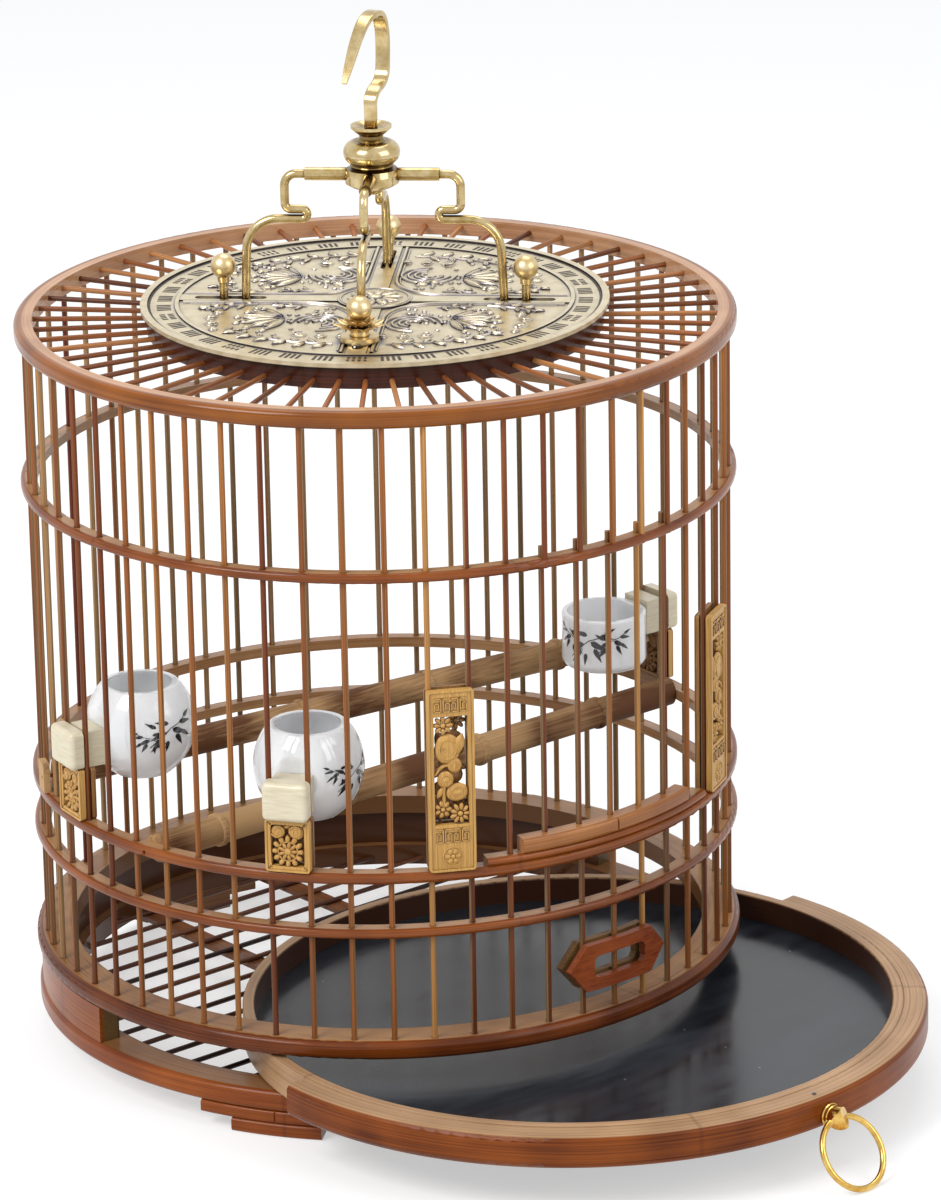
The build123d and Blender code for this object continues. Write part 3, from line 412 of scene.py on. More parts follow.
# Porcelain, thrown thin and glazed: a cool white body that lets some light through to its
# inside, under a clear even glaze
porcelain = {
    "shader": {"Roughness": 0.08, "IOR": 1.5, "Coat_Weight": 0.6, "Coat_Roughness": 0.03,
               "Subsurface_Weight": 0.7, "Subsurface_Scale": 0.007, "Subsurface_Radius": (1.0, 1.0, 1.0)},
    "pattern": (0.05, 0.05, 0.05),
    "detail": 2.0,
    "deep": "#EAEDF0",
    "pale": "#F4F5F6",
    "bump": 0.08,
    "relief": 0.4,
}

# Ink, brushed on and fired under the glaze: near black, thinner where the brush ran dry
brushedInk = {
    "shader": {"Roughness": 0.12, "IOR": 1.5, "Coat_Weight": 0.5, "Coat_Roughness": 0.04},
    "pattern": (0.5, 0.5, 0.5),
    "range": (0.4, 0.75),
    "deep": "#101114",
    "pale": "#3A3D42",
}

# ABS sheet, pressed and satin: near black, with faint dust and wiping marks
sheet = {
    "shader": {"IOR": 1.52, "Specular_IOR_Level": 0.4},
    "centre": trayCentre,
    "pattern": (0.012, 0.05, 1.0),
    "detail": 5.0,
    "fine": 0.65,
    "range": (0.35, 0.7),
    "deep": "#16191E",
    "pale": "#2C3138",
    "dust": "#9A9C9E",
    "roughness": (0.13, 0.26),
    "roughRange": (0.3, 0.7),
}


def makeEven(name, kind, **changes):
    look = {**evenLook, **kind, **changes}
    material, tree, shader = startMaterial(name, **look["shader"])
    place = inMillimetres(tree, look["centre"])
    scaled = addNode(tree, "VectorMath", "MULTIPLY", {0: place, 1: look["pattern"]})
    grain = addNode(tree, "TexNoise", {}, {
        "Vector": scaled, "Scale": 1.0, "Detail": look["detail"], "Roughness": look["fine"],
        "Distortion": look["wave"]})
    tone = addNode(tree, "MapRange", {}, {0: grain, 1: look["range"][0], 2: look["range"][1]})
    colour = addNode(tree, "Mix", mix, {0: tone, 6: look["deep"], 7: look["pale"]}, out=2)
    if look["cut"]:
        # painted shade: darker the more a spot is closed in by the carving
        depth = 0.001 * look["cutDepth"]
        openness = addNode(tree, "AmbientOcclusion", {"samples": 8}, {"Distance": depth}, out=1)
        shade = addNode(tree, "MapRange", {}, {0: openness, 1: look["cutRange"][0], 2: look["cutRange"][1]})
        colour = addNode(tree, "Mix", mix, {0: shade, 6: colour, 7: look["cut"]}, out=2)
    if look["dust"]:
        edge, full, strength = look["speck"]
        dots = addNode(tree, "TexVoronoi", {}, {"Vector": place, "Scale": look["dustEach"]})
        dust = addNode(tree, "MapRange", {}, {0: dots, 1: edge, 2: full, 4: strength})
        colour = addNode(tree, "Mix", mix, {0: dust, 6: colour, 7: look["dust"]}, out=2)
    setSurface(tree, shader, look, colour, grain)
    return material


# Long bars and door bars, by tone from dark to pale, and their paler inner sides
barTones = ("#582010", "#8C5427", "#B4844A")
barInside = ("#7A6040", "#A6835A")
finishes = {
    "topRing": makeBamboo(
        "varnishedBambooTopRing", skinFrom=160.2, skinWave=0.5, skinDark="#602C06", skinLight="#9C5A18",
        coreDark="#9C6C48", coreLight="#CC9C74", roughness=(0.18, 0.3), streakLong=120.0, coat=0.3),
    "ring": makeBamboo(
        "varnishedBambooRing", skinFrom=161.4, skinDark="#5A2506", skinLight="#95501A", coat=0.3,
        barMarks=True, stemNodes=5),
    "rail": makeBamboo(
        "varnishedBambooRail", skinFrom=162.6, skinDark="#6E3818", skinLight="#AE723E",
        coreDark="#8C5630", coreLight="#B88250", coat=0.3),
    "baseRing": makeBamboo(
        "varnishedBambooBaseRing", skinFrom=161.8, skinDark="#3C1504", skinLight="#7E3E12",
        coreDark="#7C5230", coreLight="#AC8052", innerTo=147.9, innerSoft=0.4, innerColour="#6E4A2C",
        barMarks=True, stemNodes=4, stemNodeShift=0.7),
    "base": makeBamboo(
        "varnishedBambooBase", skinFrom=162.0, skinDark="#5E240A", skinLight="#98501C",
        coreDark="#6A4426", coreLight="#966A42", innerTo=148.2, innerSoft=0.4, innerColour="#523018",
        stemNodes=4, stemNodeShift=0.2),
    "housing": makeBamboo(
        "varnishedBambooHousing", skinFrom=160.6, skinDark="#5E240A", skinLight="#9E5822",
        coreDark="#4E3C22", coreLight="#7A6038", innerTo=153.2, innerColour="#4A2A16",
        stemNodes=5, stemNodeShift=0.3),
    # painted shade: darker tones for the ring that lies in the shadow of the plate
    "plateRing": makeBamboo(
        "varnishedBambooPlateRing", skinFrom=102.4, skinDark="#2A1008", skinLight="#4E2412",
        coreDark="#4A2A18", coreLight="#7A5230"),
    "carryingRing": makeBamboo(
        "varnishedBambooCarryingRing", skinFrom=65.2, coreDark="#5A3620", coreLight="#8A5E3C"),
    "tray": makeBamboo(
        "varnishedBambooTray", centre=trayCentre, turn=cage["trayTurn"], skinFrom=160.2, skinWave=0.2,
        skinLight="#934C1A", coreDark="#927050", coreLight="#C09A74", innerTo=145.6,
        innerColour="#3A2014", lineSpacing=2.9, stemNodes=5, stemNodeShift=0.1, streakLong=90.0, coat=0.0),
    "bars": makeRods("varnishedBambooBars", "up", 0.0, barTones, barInside),
    "doorBars": makeRods("varnishedBambooDoorBars", "up", 0.0, barTones, barInside, circle=158.3),
    "topBars": makeRods("varnishedBambooTopBars", "out", 0.5, ("#5A2E14", "#96582E", "#B8804E")),
    "slats": makeRods("varnishedBambooSlats", "x", 16.0, ("#2A140C", "#4E2A18", "#6E4228")),
    "rails": makeBamboo("varnishedBambooRails", run="y", coreDark="#5A331F", coreLight="#8A5A3A"),
    "perch": makeBamboo(
        "plainBambooPerch", run="x", coreDark="#644028", coreLight="#C09A6C", coat=0.0,
        roughness=(0.5, 0.7), bump=0.4, streakWide=1.3, patch=52.0, patchShare=3.0, range=(1.7, 2.3)),
    "brass": makeBrass(
        "polishedBrass", pale="#D2BE92", deep="#AE945C", roughness=(0.13, 0.22), recess=5.0,
        bloomed="#8E7444", creased="#3E2A14"),
    "satin": makeBrass(
        "satinBrass", pale="#E4D0A6", deep="#C4A670", roughness=(0.25, 0.36), recess=1.2,
        bloomed="#A8905A", creased="#5E4420"),
    "gold": makeBrass("gildedBrass"),
    # painted shade under the plate's edge, and painted shade with tarnish in the relief's recesses
    "pressed": makeBrass(
        "pressedBrass", pale="#E2D5B6", deep="#CDC09E", roughness=(0.26, 0.36), recess=4.2, foot=343.9),
    # painted shade: near black flat marks where the plate's slots and groove lie in shade
    "punched": makeBrass("punchedBrass", pale="#5A5048", deep="#2E2826", roughness=(0.4, 0.55)),
    "boxwood": makeEven("carvedBoxwood", boxwood, deep="#AE7E38", pale="#D2A458", cut="#5E3010"),
    "boxwoodDark": makeEven("carvedBoxwoodLining", boxwood, deep="#8A5E2E", pale="#AE8048", cut="#4A2A10"),
    "ink": makeEven("brushedInk", brushedInk),
    "bone": makeEven("polishedBone", bone),
    "porcelain": makeEven("glazedPorcelain", porcelain),
    "sheet": makeEven("satinAbsSheet", sheet),
    "window": makeBamboo("varnishedRosewood", run="x", coreDark="#662810", coreLight="#9C5028", coat=0.3),
    "windowLining": makeBamboo("plainRosewoodLining", run="x", coreDark="#5E4024", coreLight="#8E6A3E"),
}

nodeFinish = {
    "topRing": ["top_ring"],
    "ring": ["upper_hoop", "middle_hoop", "lower_hoop", "door_sill"],
    "rail": ["door_rail"],
    "baseRing": ["base_ring"],
    "base": ["bottom_ring", "left_foot", "right_foot", "back_foot"],
    "housing": ["housing_wall"],
    "plateRing": ["plate_ring"],
    "carryingRing": ["carrying_ring"],
    "tray": ["tray_rim", "tray_band"],
    "sheet": ["tray_sheet"],
    "bars": ["wall_bars", "perch_pins"],
    "doorBars": ["door_bars"],
    "topBars": ["top_bars"],
    "slats": ["floor_slats"],
    "rails": ["floor_rails"],
    "perch": ["front_perch", "back_perch", "perch_brackets"],
    "brass": ["hanger_hub", "arm_sleeves", "claws", "hook", "hook_nut"],
    "satin": ["claw_balls", "petal_washer", "washer_collar"],
    "gold": ["tray_pull", "pull_ring"],
    "pressed": ["brass_plate"],
    "boxwood": [n for n in nodes if "_jamb" in n or "clip_plate" in n or "clip_backing" in n],
    "bone": [n for n in nodes if "clip_block" in n or "clip_saddle" in n],
    "window": ["window_plate"],
    "windowLining": ["window_backing"],
    "porcelain": ["left_cup", "front_cup", "right_cup"],
}
for finish, names in nodeFinish.items():
    for name in names:
        for materialSlot in nodes[name].material_slots:
            materialSlot.material = finishes[finish]
print("finishes set:", len(finishes))


# Carved, turned and pressed pieces are built in millimetres in a place of their own, and then
# set on the cage

metres = Matrix.Scale(0.001, 4)


def onWall(angle, radius, z, inward=False):
    # X to the right of someone who faces the wall, Y up, Z towards them
    turn = math.radians(angle)
    out = Vector((math.cos(turn), math.sin(turn), 0))
    towards = -out if inward else out
    up = Vector((0, 0, 1))
    place = Matrix((up.cross(towards), up, towards)).transposed().to_4x4()
    place.translation = out * radius + up * z
    return metres @ place


def at(x, y, z=0.0, turn=0.0, lean=0.0):
    # a place within a piece, turned about Z and then leaned about its own Y
    return (Matrix.Translation((x, y, z)) @ Matrix.Rotation(math.radians(turn), 4, "Z")
            @ Matrix.Rotation(math.radians(lean), 4, "Y"))


def addPart(bm, part, place=None):
    mesh = bpy.data.meshes.new("part")
    part.to_mesh(mesh)
    part.free()
    if place:
        mesh.transform(place)
    bm.from_mesh(mesh)
    bpy.data.meshes.remove(mesh)


def finishPiece(name, bm, place, body, finish, replaced=(), sharp=38):
    bmesh.ops.transform(bm, matrix=place, verts=bm.verts)
    bmesh.ops.recalc_face_normals(bm, faces=bm.faces)
    mesh = bpy.data.meshes.new(name)
    bm.to_mesh(mesh)
    bm.free()
    mesh.shade_smooth()
    mesh.set_sharp_from_angle(angle=math.radians(sharp))
    mesh.materials.append(finishes[finish])
    piece = bpy.data.objects.new(name, mesh)
    bpy.context.scene.collection.objects.link(piece)
    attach(piece, body)
    if replaced:
        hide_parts(*replaced)


def addBall(bm, place, size, segments=(12, 8), pointed=0.0):
    # a flattened ball; pointed draws its two ends along X together, as on a leaf
    part = bmesh.new()
    bmesh.ops.create_uvsphere(part, u_segments=segments[0], v_segments=segments[1], radius=1)
    for vert in part.verts:
        vert.co.y *= 1 - pointed * vert.co.x ** 2
    addPart(bm, part, place @ Matrix.Diagonal((*size, 1)))


def addBar(bm, place, size):
    bmesh.ops.create_cube(bm, size=1, matrix=place @ Matrix.Diagonal((*size, 1)))


def smoothLine(points, closed=False):
    # points read along a NURBS line through these control points
    curve = bpy.data.curves.new("line", "CURVE")
    curve.dimensions = "3D"
    curve.resolution_u = 4
    line = curve.splines.new("NURBS")
    line.points.add(len(points) - 1)
    for spot, point in zip(line.points, points):
        spot.co = (*point, 1)
    line.order_u = 3
    line.use_endpoint_u = not closed
    line.use_cyclic_u = closed
    holder = bpy.data.objects.new("line", curve)
    return curve, holder


def addRib(bm, place, points, radius, closed=False):
    # a round rib along a smooth line, its points given as x and y
    curve, holder = smoothLine([(x, y, 0) for x, y in points], closed)
    curve.bevel_depth = radius
    curve.bevel_resolution = 1
    curve.use_fill_caps = True
    mesh = bpy.data.meshes.new_from_object(holder)
    part = bmesh.new()
    part.from_mesh(mesh)
    bmesh.ops.remove_doubles(part, verts=part.verts, dist=0.001)  # joins the end caps on
    addPart(bm, part, place)
    for block, kept in ((holder, bpy.data.objects), (curve, bpy.data.curves), (mesh, bpy.data.meshes)):
        kept.remove(block)


def arc(x, y, radius, start, end, steps=8, shrink=0.0):
    # points on an arc, or on a spiral where shrink draws it in
    points = []
    for step in range(steps + 1):
        angle = math.radians(start + (end - start) * step / steps)
        far = radius * (1 - shrink * step / steps)
        points.append((x + far * math.cos(angle), y + far * math.sin(angle)))
    return points


def circle(radius, points):
    return arc(0, 0, radius, 0, 360 - 360 / points, points - 1)


# Carved and pressed ornament, in shares of a leaf's or flower's own size and thickness

leafShape = {
    "pointed": 0.75,
    "vein": (0.46, 0.07, 0.5),  # by the leaf's length, width and thickness
    "veinUp": 0.7,
}
flowerShape = {
    "petalAt": 0.62,  # from the heart to the middle of a petal
    "petalLong": 0.38,
    "petalWide": 0.62,
    "veinAt": 0.66,
    "vein": (0.22, 0.16, 0.4),
    "veinUp": 0.8,
    "heartUp": 0.3,
}
scrollShape = {
    "spiral": (0.86, 200, 740, 14, 0.9),  # radius, first and last angle, steps, how far it draws in
    "rib": 0.13,
    "ribUp": 0.75,
}


def addLeaf(bm, place, length, width, thick):
    shape = leafShape
    long, wide, high = shape["vein"]
    addBall(bm, place, (length / 2, width / 2, thick), (12, 6), shape["pointed"])
    addBall(bm, place @ at(0, 0, shape["veinUp"] * thick),
            (long * length, wide * width, high * thick), (8, 4))


def addFlower(bm, place, radius, petals, thick, heart=0.28):
    shape = flowerShape
    long, wide, high = shape["vein"]
    half = radius * math.sin(math.pi / petals) * shape["petalWide"]
    for number in range(petals):
        turned = place @ at(0, 0, 0, 360 * number / petals)
        addBall(bm, turned @ at(shape["petalAt"] * radius, 0), (shape["petalLong"] * radius, half, thick))
        addBall(bm, turned @ at(shape["veinAt"] * radius, 0, shape["veinUp"] * thick),
                (long * radius, wide * half, high * thick), (6, 4))
    addBall(bm, place @ at(0, 0, shape["heartUp"] * thick), (heart * radius, heart * radius, thick))


def addScroll(bm, place, radius, thick, flip=1):
    # a curl: a domed disc with a spiral rib on it
    shape = scrollShape
    addBall(bm, place, (radius, radius, thick), (14, 6))
    share, start, end, steps, shrink = shape["spiral"]
    rib = [(x, flip * y) for x, y in arc(0, 0, share * radius, start, end, steps, shrink)]
    addRib(bm, place @ at(0, 0, shape["ribUp"] * thick), rib, shape["rib"] * radius)


# Boxwood boards: each is carved outside the bars, and has a lining of the same form inside them

def addBoard(bm, look, low, thick, opening, border):
    # a board with rounded corners, open between two heights, its front edges eased
    board = bmesh.new()
    bmesh.ops.create_grid(board, x_segments=1, y_segments=1, size=0.5)
    bmesh.ops.scale(board, vec=(*look["size"], 1), verts=board.verts)
    bmesh.ops.bevel(board, geom=board.verts[:], offset=look["corner"], segments=4, profile=0.5,
                    affect="VERTICES", material=-1)
    top, bottom = opening
    for level in (top + border, bottom - border):
        bmesh.ops.bisect_plane(board, geom=[*board.verts, *board.edges, *board.faces],
                               plane_co=(0, level, 0), plane_no=(0, 1, 0))
    middle = min(board.faces, key=lambda face: abs(face.calc_center_median().y - (top + bottom) / 2))
    bmesh.ops.inset_individual(board, faces=[middle], thickness=border, use_even_offset=True)
    bmesh.ops.delete(board, geom=[middle], context="FACES")
    bmesh.ops.solidify(board, geom=board.faces[:], thickness=thick)
    lowest = min(vert.co.z for vert in board.verts)
    bmesh.ops.translate(board, vec=(0, 0, low - lowest), verts=board.verts)
    board.normal_update()
    rims = [edge for edge in board.edges
            if edge.calc_face_angle(0) > 1 and all(vert.co.z > low + thick / 2 for vert in edge.verts)]
    eased = min(0.4, 0.4 * thick)
    bmesh.ops.bevel(board, geom=rims, offset=eased, segments=2, profile=0.5,
                    affect="EDGES", material=-1)
    addPart(bm, board)


def startBoard(look, thick, opening):
    # the board, and a raised edge on it
    bm = bmesh.new()
    addBoard(bm, look, 0, thick, opening, look["border"])
    rise, wide, sunk = look["edge"]
    top = look["size"][1] / 2
    addBoard(bm, look, thick - sunk, rise, (top - wide, wide - top), wide)
    return bm


def setBoards(look, makeBoard, name, angle, replaced, mirror=1):
    z = look["foot"] + look["size"][1] / 2
    for side, word, finish in (("front", "Carving", "boxwood"), ("back", "Lining", "boxwoodDark")):
        radius, thick = look[side]
        place = onWall(angle, radius, z, inward=side == "back") @ Matrix.Diagonal((mirror, 1, 1, 1))
        finishPiece(name + word, makeBoard(thick), place, "cage", finish, [replaced[side]])


# Jambs beside the door

jambLook = {
    "size": (21.0, 84.7),
    "corner": 1.6,
    "border": 2.9,
    "opening": (30.0, -20.3),  # top and bottom of the opening, from the board's middle
    "front": (161.45, 2.5),  # how far from the axis it starts, and how thick it is
    "back": (158.3, 1.9),
    "edge": (0.5, 1.2, 0.05),  # height and width of the raised edge, and how far it is sunk in
    "angle": 4.5 * pitch,  # each way from the door's middle
    "foot": 128.3,
    "bands": (35.6, -25.3),  # middles of the two fret bands
    "bandSize": (15.2, 6.0),
    "bandKeys": (4, 0.55, 0.45),  # keys of the fret, and width and height of its bars
    "medallion": (-35.3, 4.5, 0.4),  # height, radius and thickness of its ring
    "medallionFlower": (0.86, 6, 0.55),  # share of the ring, petals and thickness
    # The spray that fills the opening from side to side: x, y and height, and then
    "balls": [  # turn, size, segments
        (-1.5, 14.8, 0, 0, (5.9, 7.0, 1.35), (18, 10)),
        (1.6, 7.0, 0, 0, (3.2, 3.6, 1.2), (14, 8)),
        (-2.6, 0.6, 0, 0, (3.7, 4.0, 1.25), (16, 8)),
        (-2.6, 0.6, 0.8, 0, (1.3, 1.4, 0.7), (12, 8)),
        (2.6, -5.6, 0, 8, (5.1, 4.2, 1.35), (18, 10)),
        (2.6, -5.6, 1.2, 8, (1.9, 1.2, 0.6), (12, 8)),
    ],
    "rings": [  # turn, stretch across and up, radius, last angle, steps, thickness
        (-3.3, 15.0, 1.25, 0, (1, 1), 1, 315, 7, 0.36),
        (-1.5, 14.8, 1.0, 0, (1, 1.2), 3.9, 330, 11, 0.4),
        (1.6, 7.0, 1.0, 0, (1, 1), 1.9, 320, 8, 0.34),
        (-2.6, 0.6, 1.05, 0, (1, 1), 2.4, 320, 9, 0.36),
        (2.6, -5.6, 1.1, 8, (1.25, 1), 2.7, 320, 9, 0.42),
    ],
    "leaves": [  # turn, length, width, thickness
        (3.6, 16.6, 0.2, 72, 11.0, 5.4, 1.2),
        (-5.0, -5.4, 0, 60, 6.5, 3.0, 0.9),
    ],
    "flowers": [  # radius, petals, thickness
        (-3.4, 26.0, 0, 4.6, 8, 1.2),
        (-4.0, -13.2, 0, 4.1, 7, 1.2),
        (3.7, -15.6, 0, 4.9, 9, 1.25),
    ],
    "stems": [  # points as x and y, thickness
        ([(-7.2, 3.0), (-5.2, 6.2), (-1.5, 7.6), (1.6, 7.0)], 0.75),
        ([(-2.6, 0.6), (-3.6, -5.0), (-3.2, -10.0), (-3.8, -13.0)], 0.8),
    ],
}

# one key of the fret, in shares of its size: each bar from a point to a point
fretKey = [(-0.42, 0.5, 0.42, 0.5), (0.42, 0.5, 0.42, -0.5), (0.42, -0.5, -0.42, -0.5),
           (-0.42, -0.5, -0.42, 0.16), (-0.42, 0.16, 0.1, 0.16), (0.1, 0.16, 0.1, -0.18)]
fretKeyWide = 0.86  # how much of its room a key takes


def addFret(bm, place, size, keys, bar, height):
    wide = size[0] / keys
    for key in range(keys):
        middle = (key - (keys - 1) / 2) * wide
        flip = -1 if key % 2 else 1
        for x1, y1, x2, y2 in fretKey:
            x1, x2 = [middle + flip * x * wide * fretKeyWide for x in (x1, x2)]
            y1, y2 = y1 * size[1], y2 * size[1]
            addBar(bm, place @ at((x1 + x2) / 2, (y1 + y2) / 2, height / 2),
                   (abs(x2 - x1) + bar, abs(y2 - y1) + bar, height))


def addJambSpray(bm, z):
    look = jambLook
    for x, y, up, turn, size, segments in look["balls"]:
        addBall(bm, at(x, y, z + up, turn), size, segments)
    for x, y, up, turn, stretch, radius, last, steps, thick in look["rings"]:
        place = at(x, y, z + up, turn) @ Matrix.Diagonal((*stretch, 1, 1))
        addRib(bm, place, arc(0, 0, radius, 0, last, steps), thick, closed=True)
    for x, y, up, turn, length, width, thick in look["leaves"]:
        addLeaf(bm, at(x, y, z + up, turn), length, width, thick)
    for x, y, up, radius, petals, thick in look["flowers"]:
        addFlower(bm, at(x, y, z + up), radius, petals, thick)
    for points, thick in look["stems"]:
        addRib(bm, at(0, 0, z), points, thick)


def makeJambBoard(thick):
    look = jambLook
    bm = startBoard(look, thick, look["opening"])
    for middle in look["bands"]:
        addFret(bm, at(0, middle, thick), look["bandSize"], *look["bandKeys"])
    middle, radius, rib = look["medallion"]
    addRib(bm, at(0, middle, thick), circle(radius, 24), rib, closed=True)
    share, petals, high = look["medallionFlower"]
    addFlower(bm, at(0, middle, thick), share * radius, petals, high)
    addJambSpray(bm, thick / 2)
    return bm


def makeJambs():
    for side, name in ((-1, "left"), (1, "right")):
        setBoards(jambLook, makeJambBoard, name + "Jamb", cage["front"] + side * jambLook["angle"],
                  {"front": name + "_jamb", "back": name + "_jamb_backing"}, mirror=-side)


# Clips under the blocks that carry the cups

clipLook = {
    "size": (20.5, 24.7),
    "corner": 1.6,
    "border": 2.7,
    "front": (161.45, 2.5),  # how far from the axis it starts, and how thick it is
    "back": (158.3, 1.9),
    "edge": (0.5, 1.1, 0.05),  # height and width of the raised edge, and how far it is sunk in
    "foot": 128.3,
    "gaps": {"left": -15.5, "front": -8.5, "right": 13.5},  # pitches round from the door
    "flower": (-0.1, -2.9),
    "petals": (4.5, 9, 1.1, 0.4),  # radius, how many, thickness, share of the heart
    "ring": (4.6, 0.55),  # radius and thickness
    "beads": 12,
    # the two balls of a bead: distance from the middle, height, size, segments
    "bead": [(5.9, 0, (1.75, 1.25, 1.25), (10, 6)), (6.3, 0.9, (0.7, 0.5, 0.6), (8, 4))],
    "scrolls": [(-4.7, 6.2, 3.3, 1), (3.9, 6.6, 3.7, -1)],  # x, y, radius, way round
    "scrollThick": 1.2,
    "leaf": (0.2, 9.0, 20, 5.0, 2.2, 0.9),  # x, y, turn, length, width, thickness
}


def makeClipBoard(thick):
    look = clipLook
    inside = look["size"][1] / 2 - look["border"]
    bm = startBoard(look, thick, (inside, -inside))
    z = thick / 2
    flower = at(*look["flower"], z)
    addFlower(bm, flower, *look["petals"])
    radius, rib = look["ring"]
    addRib(bm, flower, circle(radius, 12), rib, closed=True)
    for number in range(look["beads"]):
        turned = flower @ at(0, 0, 0, 360 * number / look["beads"])
        for far, up, size, segments in look["bead"]:
            addBall(bm, turned @ at(far, 0, up), size, segments)
    for x, y, radius, flip in look["scrolls"]:
        addScroll(bm, at(x, y, z), radius, look["scrollThick"], flip)
    x, y, turn, *size = look["leaf"]
    addLeaf(bm, at(x, y, z, turn), *size)
    return bm


def makeClips():
    for name, gap in clipLook["gaps"].items():
        setBoards(clipLook, makeClipBoard, name + "Clip", cage["front"] + gap * pitch,
                  {"front": name + "_clip_plate", "back": name + "_clip_backing"})


# Relief on the pressed plate: four panels round a rosette, and a border of short strokes; the strokes and the
# groove are flat dark marks, painted shade of slots and a groove

plateLook = {
    "top": 345.0,
    "arm": 6.8,  # half the width of the plain cross
    "bend": 25.0,  # how round the panels are at the plate's middle
    "ribs": [(0.0, 1.0), (1.7, 0.5)],  # how far inside a panel's edge, and how thick
    "ringIn": 87.0,  # where the panels end
    "rosette": (13.0, 10, 1.3, 0.26),  # radius, petals, thickness, share of the heart
    "rosetteUp": 0.6,
    "rosetteRing": (15.6, 0.5, 0.7),  # radius, thickness and height
    "lip": (105.3, 1.05),  # radius and thickness of the raised edge
    "groove": (103.0, 0.9, 0.2),  # radius, thickness, and how flat it is, of a flat dark ring that paints the groove's shade
    "border": (91.4, 100.6),
    "borderRib": (1.6, 0.45),  # how far inside the border, and how thick
    "groups": 40,
    "strokes": 4,
    "strokeStep": 1.5,  # degrees
    "strokeSize": (6.4, 1.25, 0.16),
    "splitGroup": 4,  # in one group of so many, the strokes are in two halves
    "half": (0.4, 0.3),  # its length and how far it is from the middle, in shares of a stroke
}

# What fills a panel, with x along the plate's radius

panelLook = {
    "waves": {"middle": (43, -13), "count": 4, "radius": 3.4, "step": 3.2, "ends": (70, 290), "wider": 9,
              "rib": 0.75, "up": 0.1},
    "fan": {"foot": (50, 2), "leaves": (6, 7), "start": -20, "spread": 118, "length": 20.0, "shorter": 5.0,
            "longest": 0.45, "out": 0.55, "wide": 4.6, "thick": 1.5, "up": 0.2},
    "bead": {"out": 1.166, "size": (1.7, 1.7, 1.1), "up": 0.1},  # at the tip of each of the fan's leaves
    "branches": [  # points of the stem, leaves, length of the first, side that it is on
        ([(60, -43), (69, -32), (75, -20), (79, -6), (80, 8)], 12, 9.0, 1),
        ([(44, 30), (52, 35), (60, 38), (67, 39)], 7, 7.5, -1),
        ([(30, 12), (36, 17), (40, 24)], 4, 6.0, 1),
    ],
    "stem": 0.7,
    "branchLeaf": {"turn": 52, "shrink": 0.35, "wide": 0.4, "thick": 1.1, "up": 0.1},
    "curls": [(31, -4, 3.0), (37, -2, 2.4), (62, -22, 3.6), (56, -30, 2.8), (79, 20, 3.2), (73, 28, 3.0),
              (66, 31, 2.4), (84, 12, 2.2), (49, 24, 2.8), (50, -37, 2.4)],  # x, y, radius
    "curlThick": 1.2,
    "seeds": {"count": 26, "start": 24, "step": 2.3, "sway": 3.5, "turn": 2.4, "spread": 0.28,
              "size": (1.2, 1.1, 0.9), "longer": 0.15},
}


def addPanelEdge(bm, place):
    # along one arm of the cross, round the bend and out along the next arm
    look = plateLook
    for shift, rib in look["ribs"]:
        line = look["arm"] + shift
        bend = look["bend"] - shift
        middle = line + bend
        reach = look["ringIn"] - 2 * shift
        points = [(reach, line), ((reach + middle) / 2, line)]
        points += arc(middle, middle, bend, 270, 180, 6) + [(line, (reach + middle) / 2), (line, reach)]
        addRib(bm, place @ at(0, 0, 0, turn=-45), points, rib)


def addWaves(bm, place):
    look = panelLook["waves"]
    start, end = look["ends"]
    for ring in range(look["count"]):
        radius, more = look["radius"] + look["step"] * ring, look["wider"] * ring
        wave = arc(*look["middle"], radius, start - more, end + more, 10)
        addRib(bm, place @ at(0, 0, look["up"]), wave, look["rib"])


def addFan(bm, place, leaves):
    look, bead = panelLook["fan"], panelLook["bead"]
    for number in range(leaves):
        turn = look["start"] + look["spread"] * number / (leaves - 1)
        size = look["length"] - look["shorter"] * abs(number / (leaves - 1) - look["longest"])
        ray = Vector((math.cos(math.radians(turn)), math.sin(math.radians(turn)))) * size
        x, y = Vector(look["foot"]) + ray * look["out"]
        addLeaf(bm, place @ at(x, y, look["up"], turn), size, look["wide"], look["thick"])
        x, y = Vector(look["foot"]) + ray * bead["out"]
        addBall(bm, place @ at(x, y, bead["up"]), bead["size"], (8, 6))


def addBranch(bm, place, points, leaves, length, flip):
    # a stem with a leaf on each side by turns
    look = panelLook["branchLeaf"]
    addRib(bm, place, points, panelLook["stem"])
    for number in range(leaves):
        share = (number + 0.5) / leaves * (len(points) - 1)
        start, part = int(share), share % 1
        (x1, y1), (x2, y2) = points[start], points[start + 1]
        along = math.degrees(math.atan2(y2 - y1, x2 - x1))
        turn = along + look["turn"] * (flip if number % 2 else -flip)
        size = length * (1 - look["shrink"] * number / leaves)
        x = x1 + (x2 - x1) * part + 0.5 * size * math.cos(math.radians(turn))
        y = y1 + (y2 - y1) * part + 0.5 * size * math.sin(math.radians(turn))
        addLeaf(bm, place @ at(x, y, look["up"], turn), size, look["wide"] * size, look["thick"])


def addSeeds(bm, place):
    look = panelLook["seeds"]
    long, wide, high = look["size"]
    for number in range(look["count"]):
        x = look["start"] + look["step"] * number
        y = look["sway"] * math.sin(number * look["turn"]) + (number % 5 - 2) * look["spread"] * number
        addBall(bm, place @ at(x, y), (long + look["longer"] * (number % 3), wide, high), (6, 4))


def addPanel(bm, number):
    # a fan of long leaves, waves beside it, leafy branches, curls of cloud and seeds
    look = panelLook
    odd = number % 2
    place = at(0, 0, 0, turn=90 * number)
    addPanelEdge(bm, place)
    place = place @ Matrix.Diagonal((1, 1 if odd else -1, 1, 1))
    addWaves(bm, place)
    addFan(bm, place, look["fan"]["leaves"][odd])
    for branch in look["branches"]:
        addBranch(bm, place, *branch)
    for x, y, size in look["curls"]:
        addScroll(bm, place @ at(x, y), size, look["curlThick"], flip=1 if x % 2 else -1)
    addSeeds(bm, place)


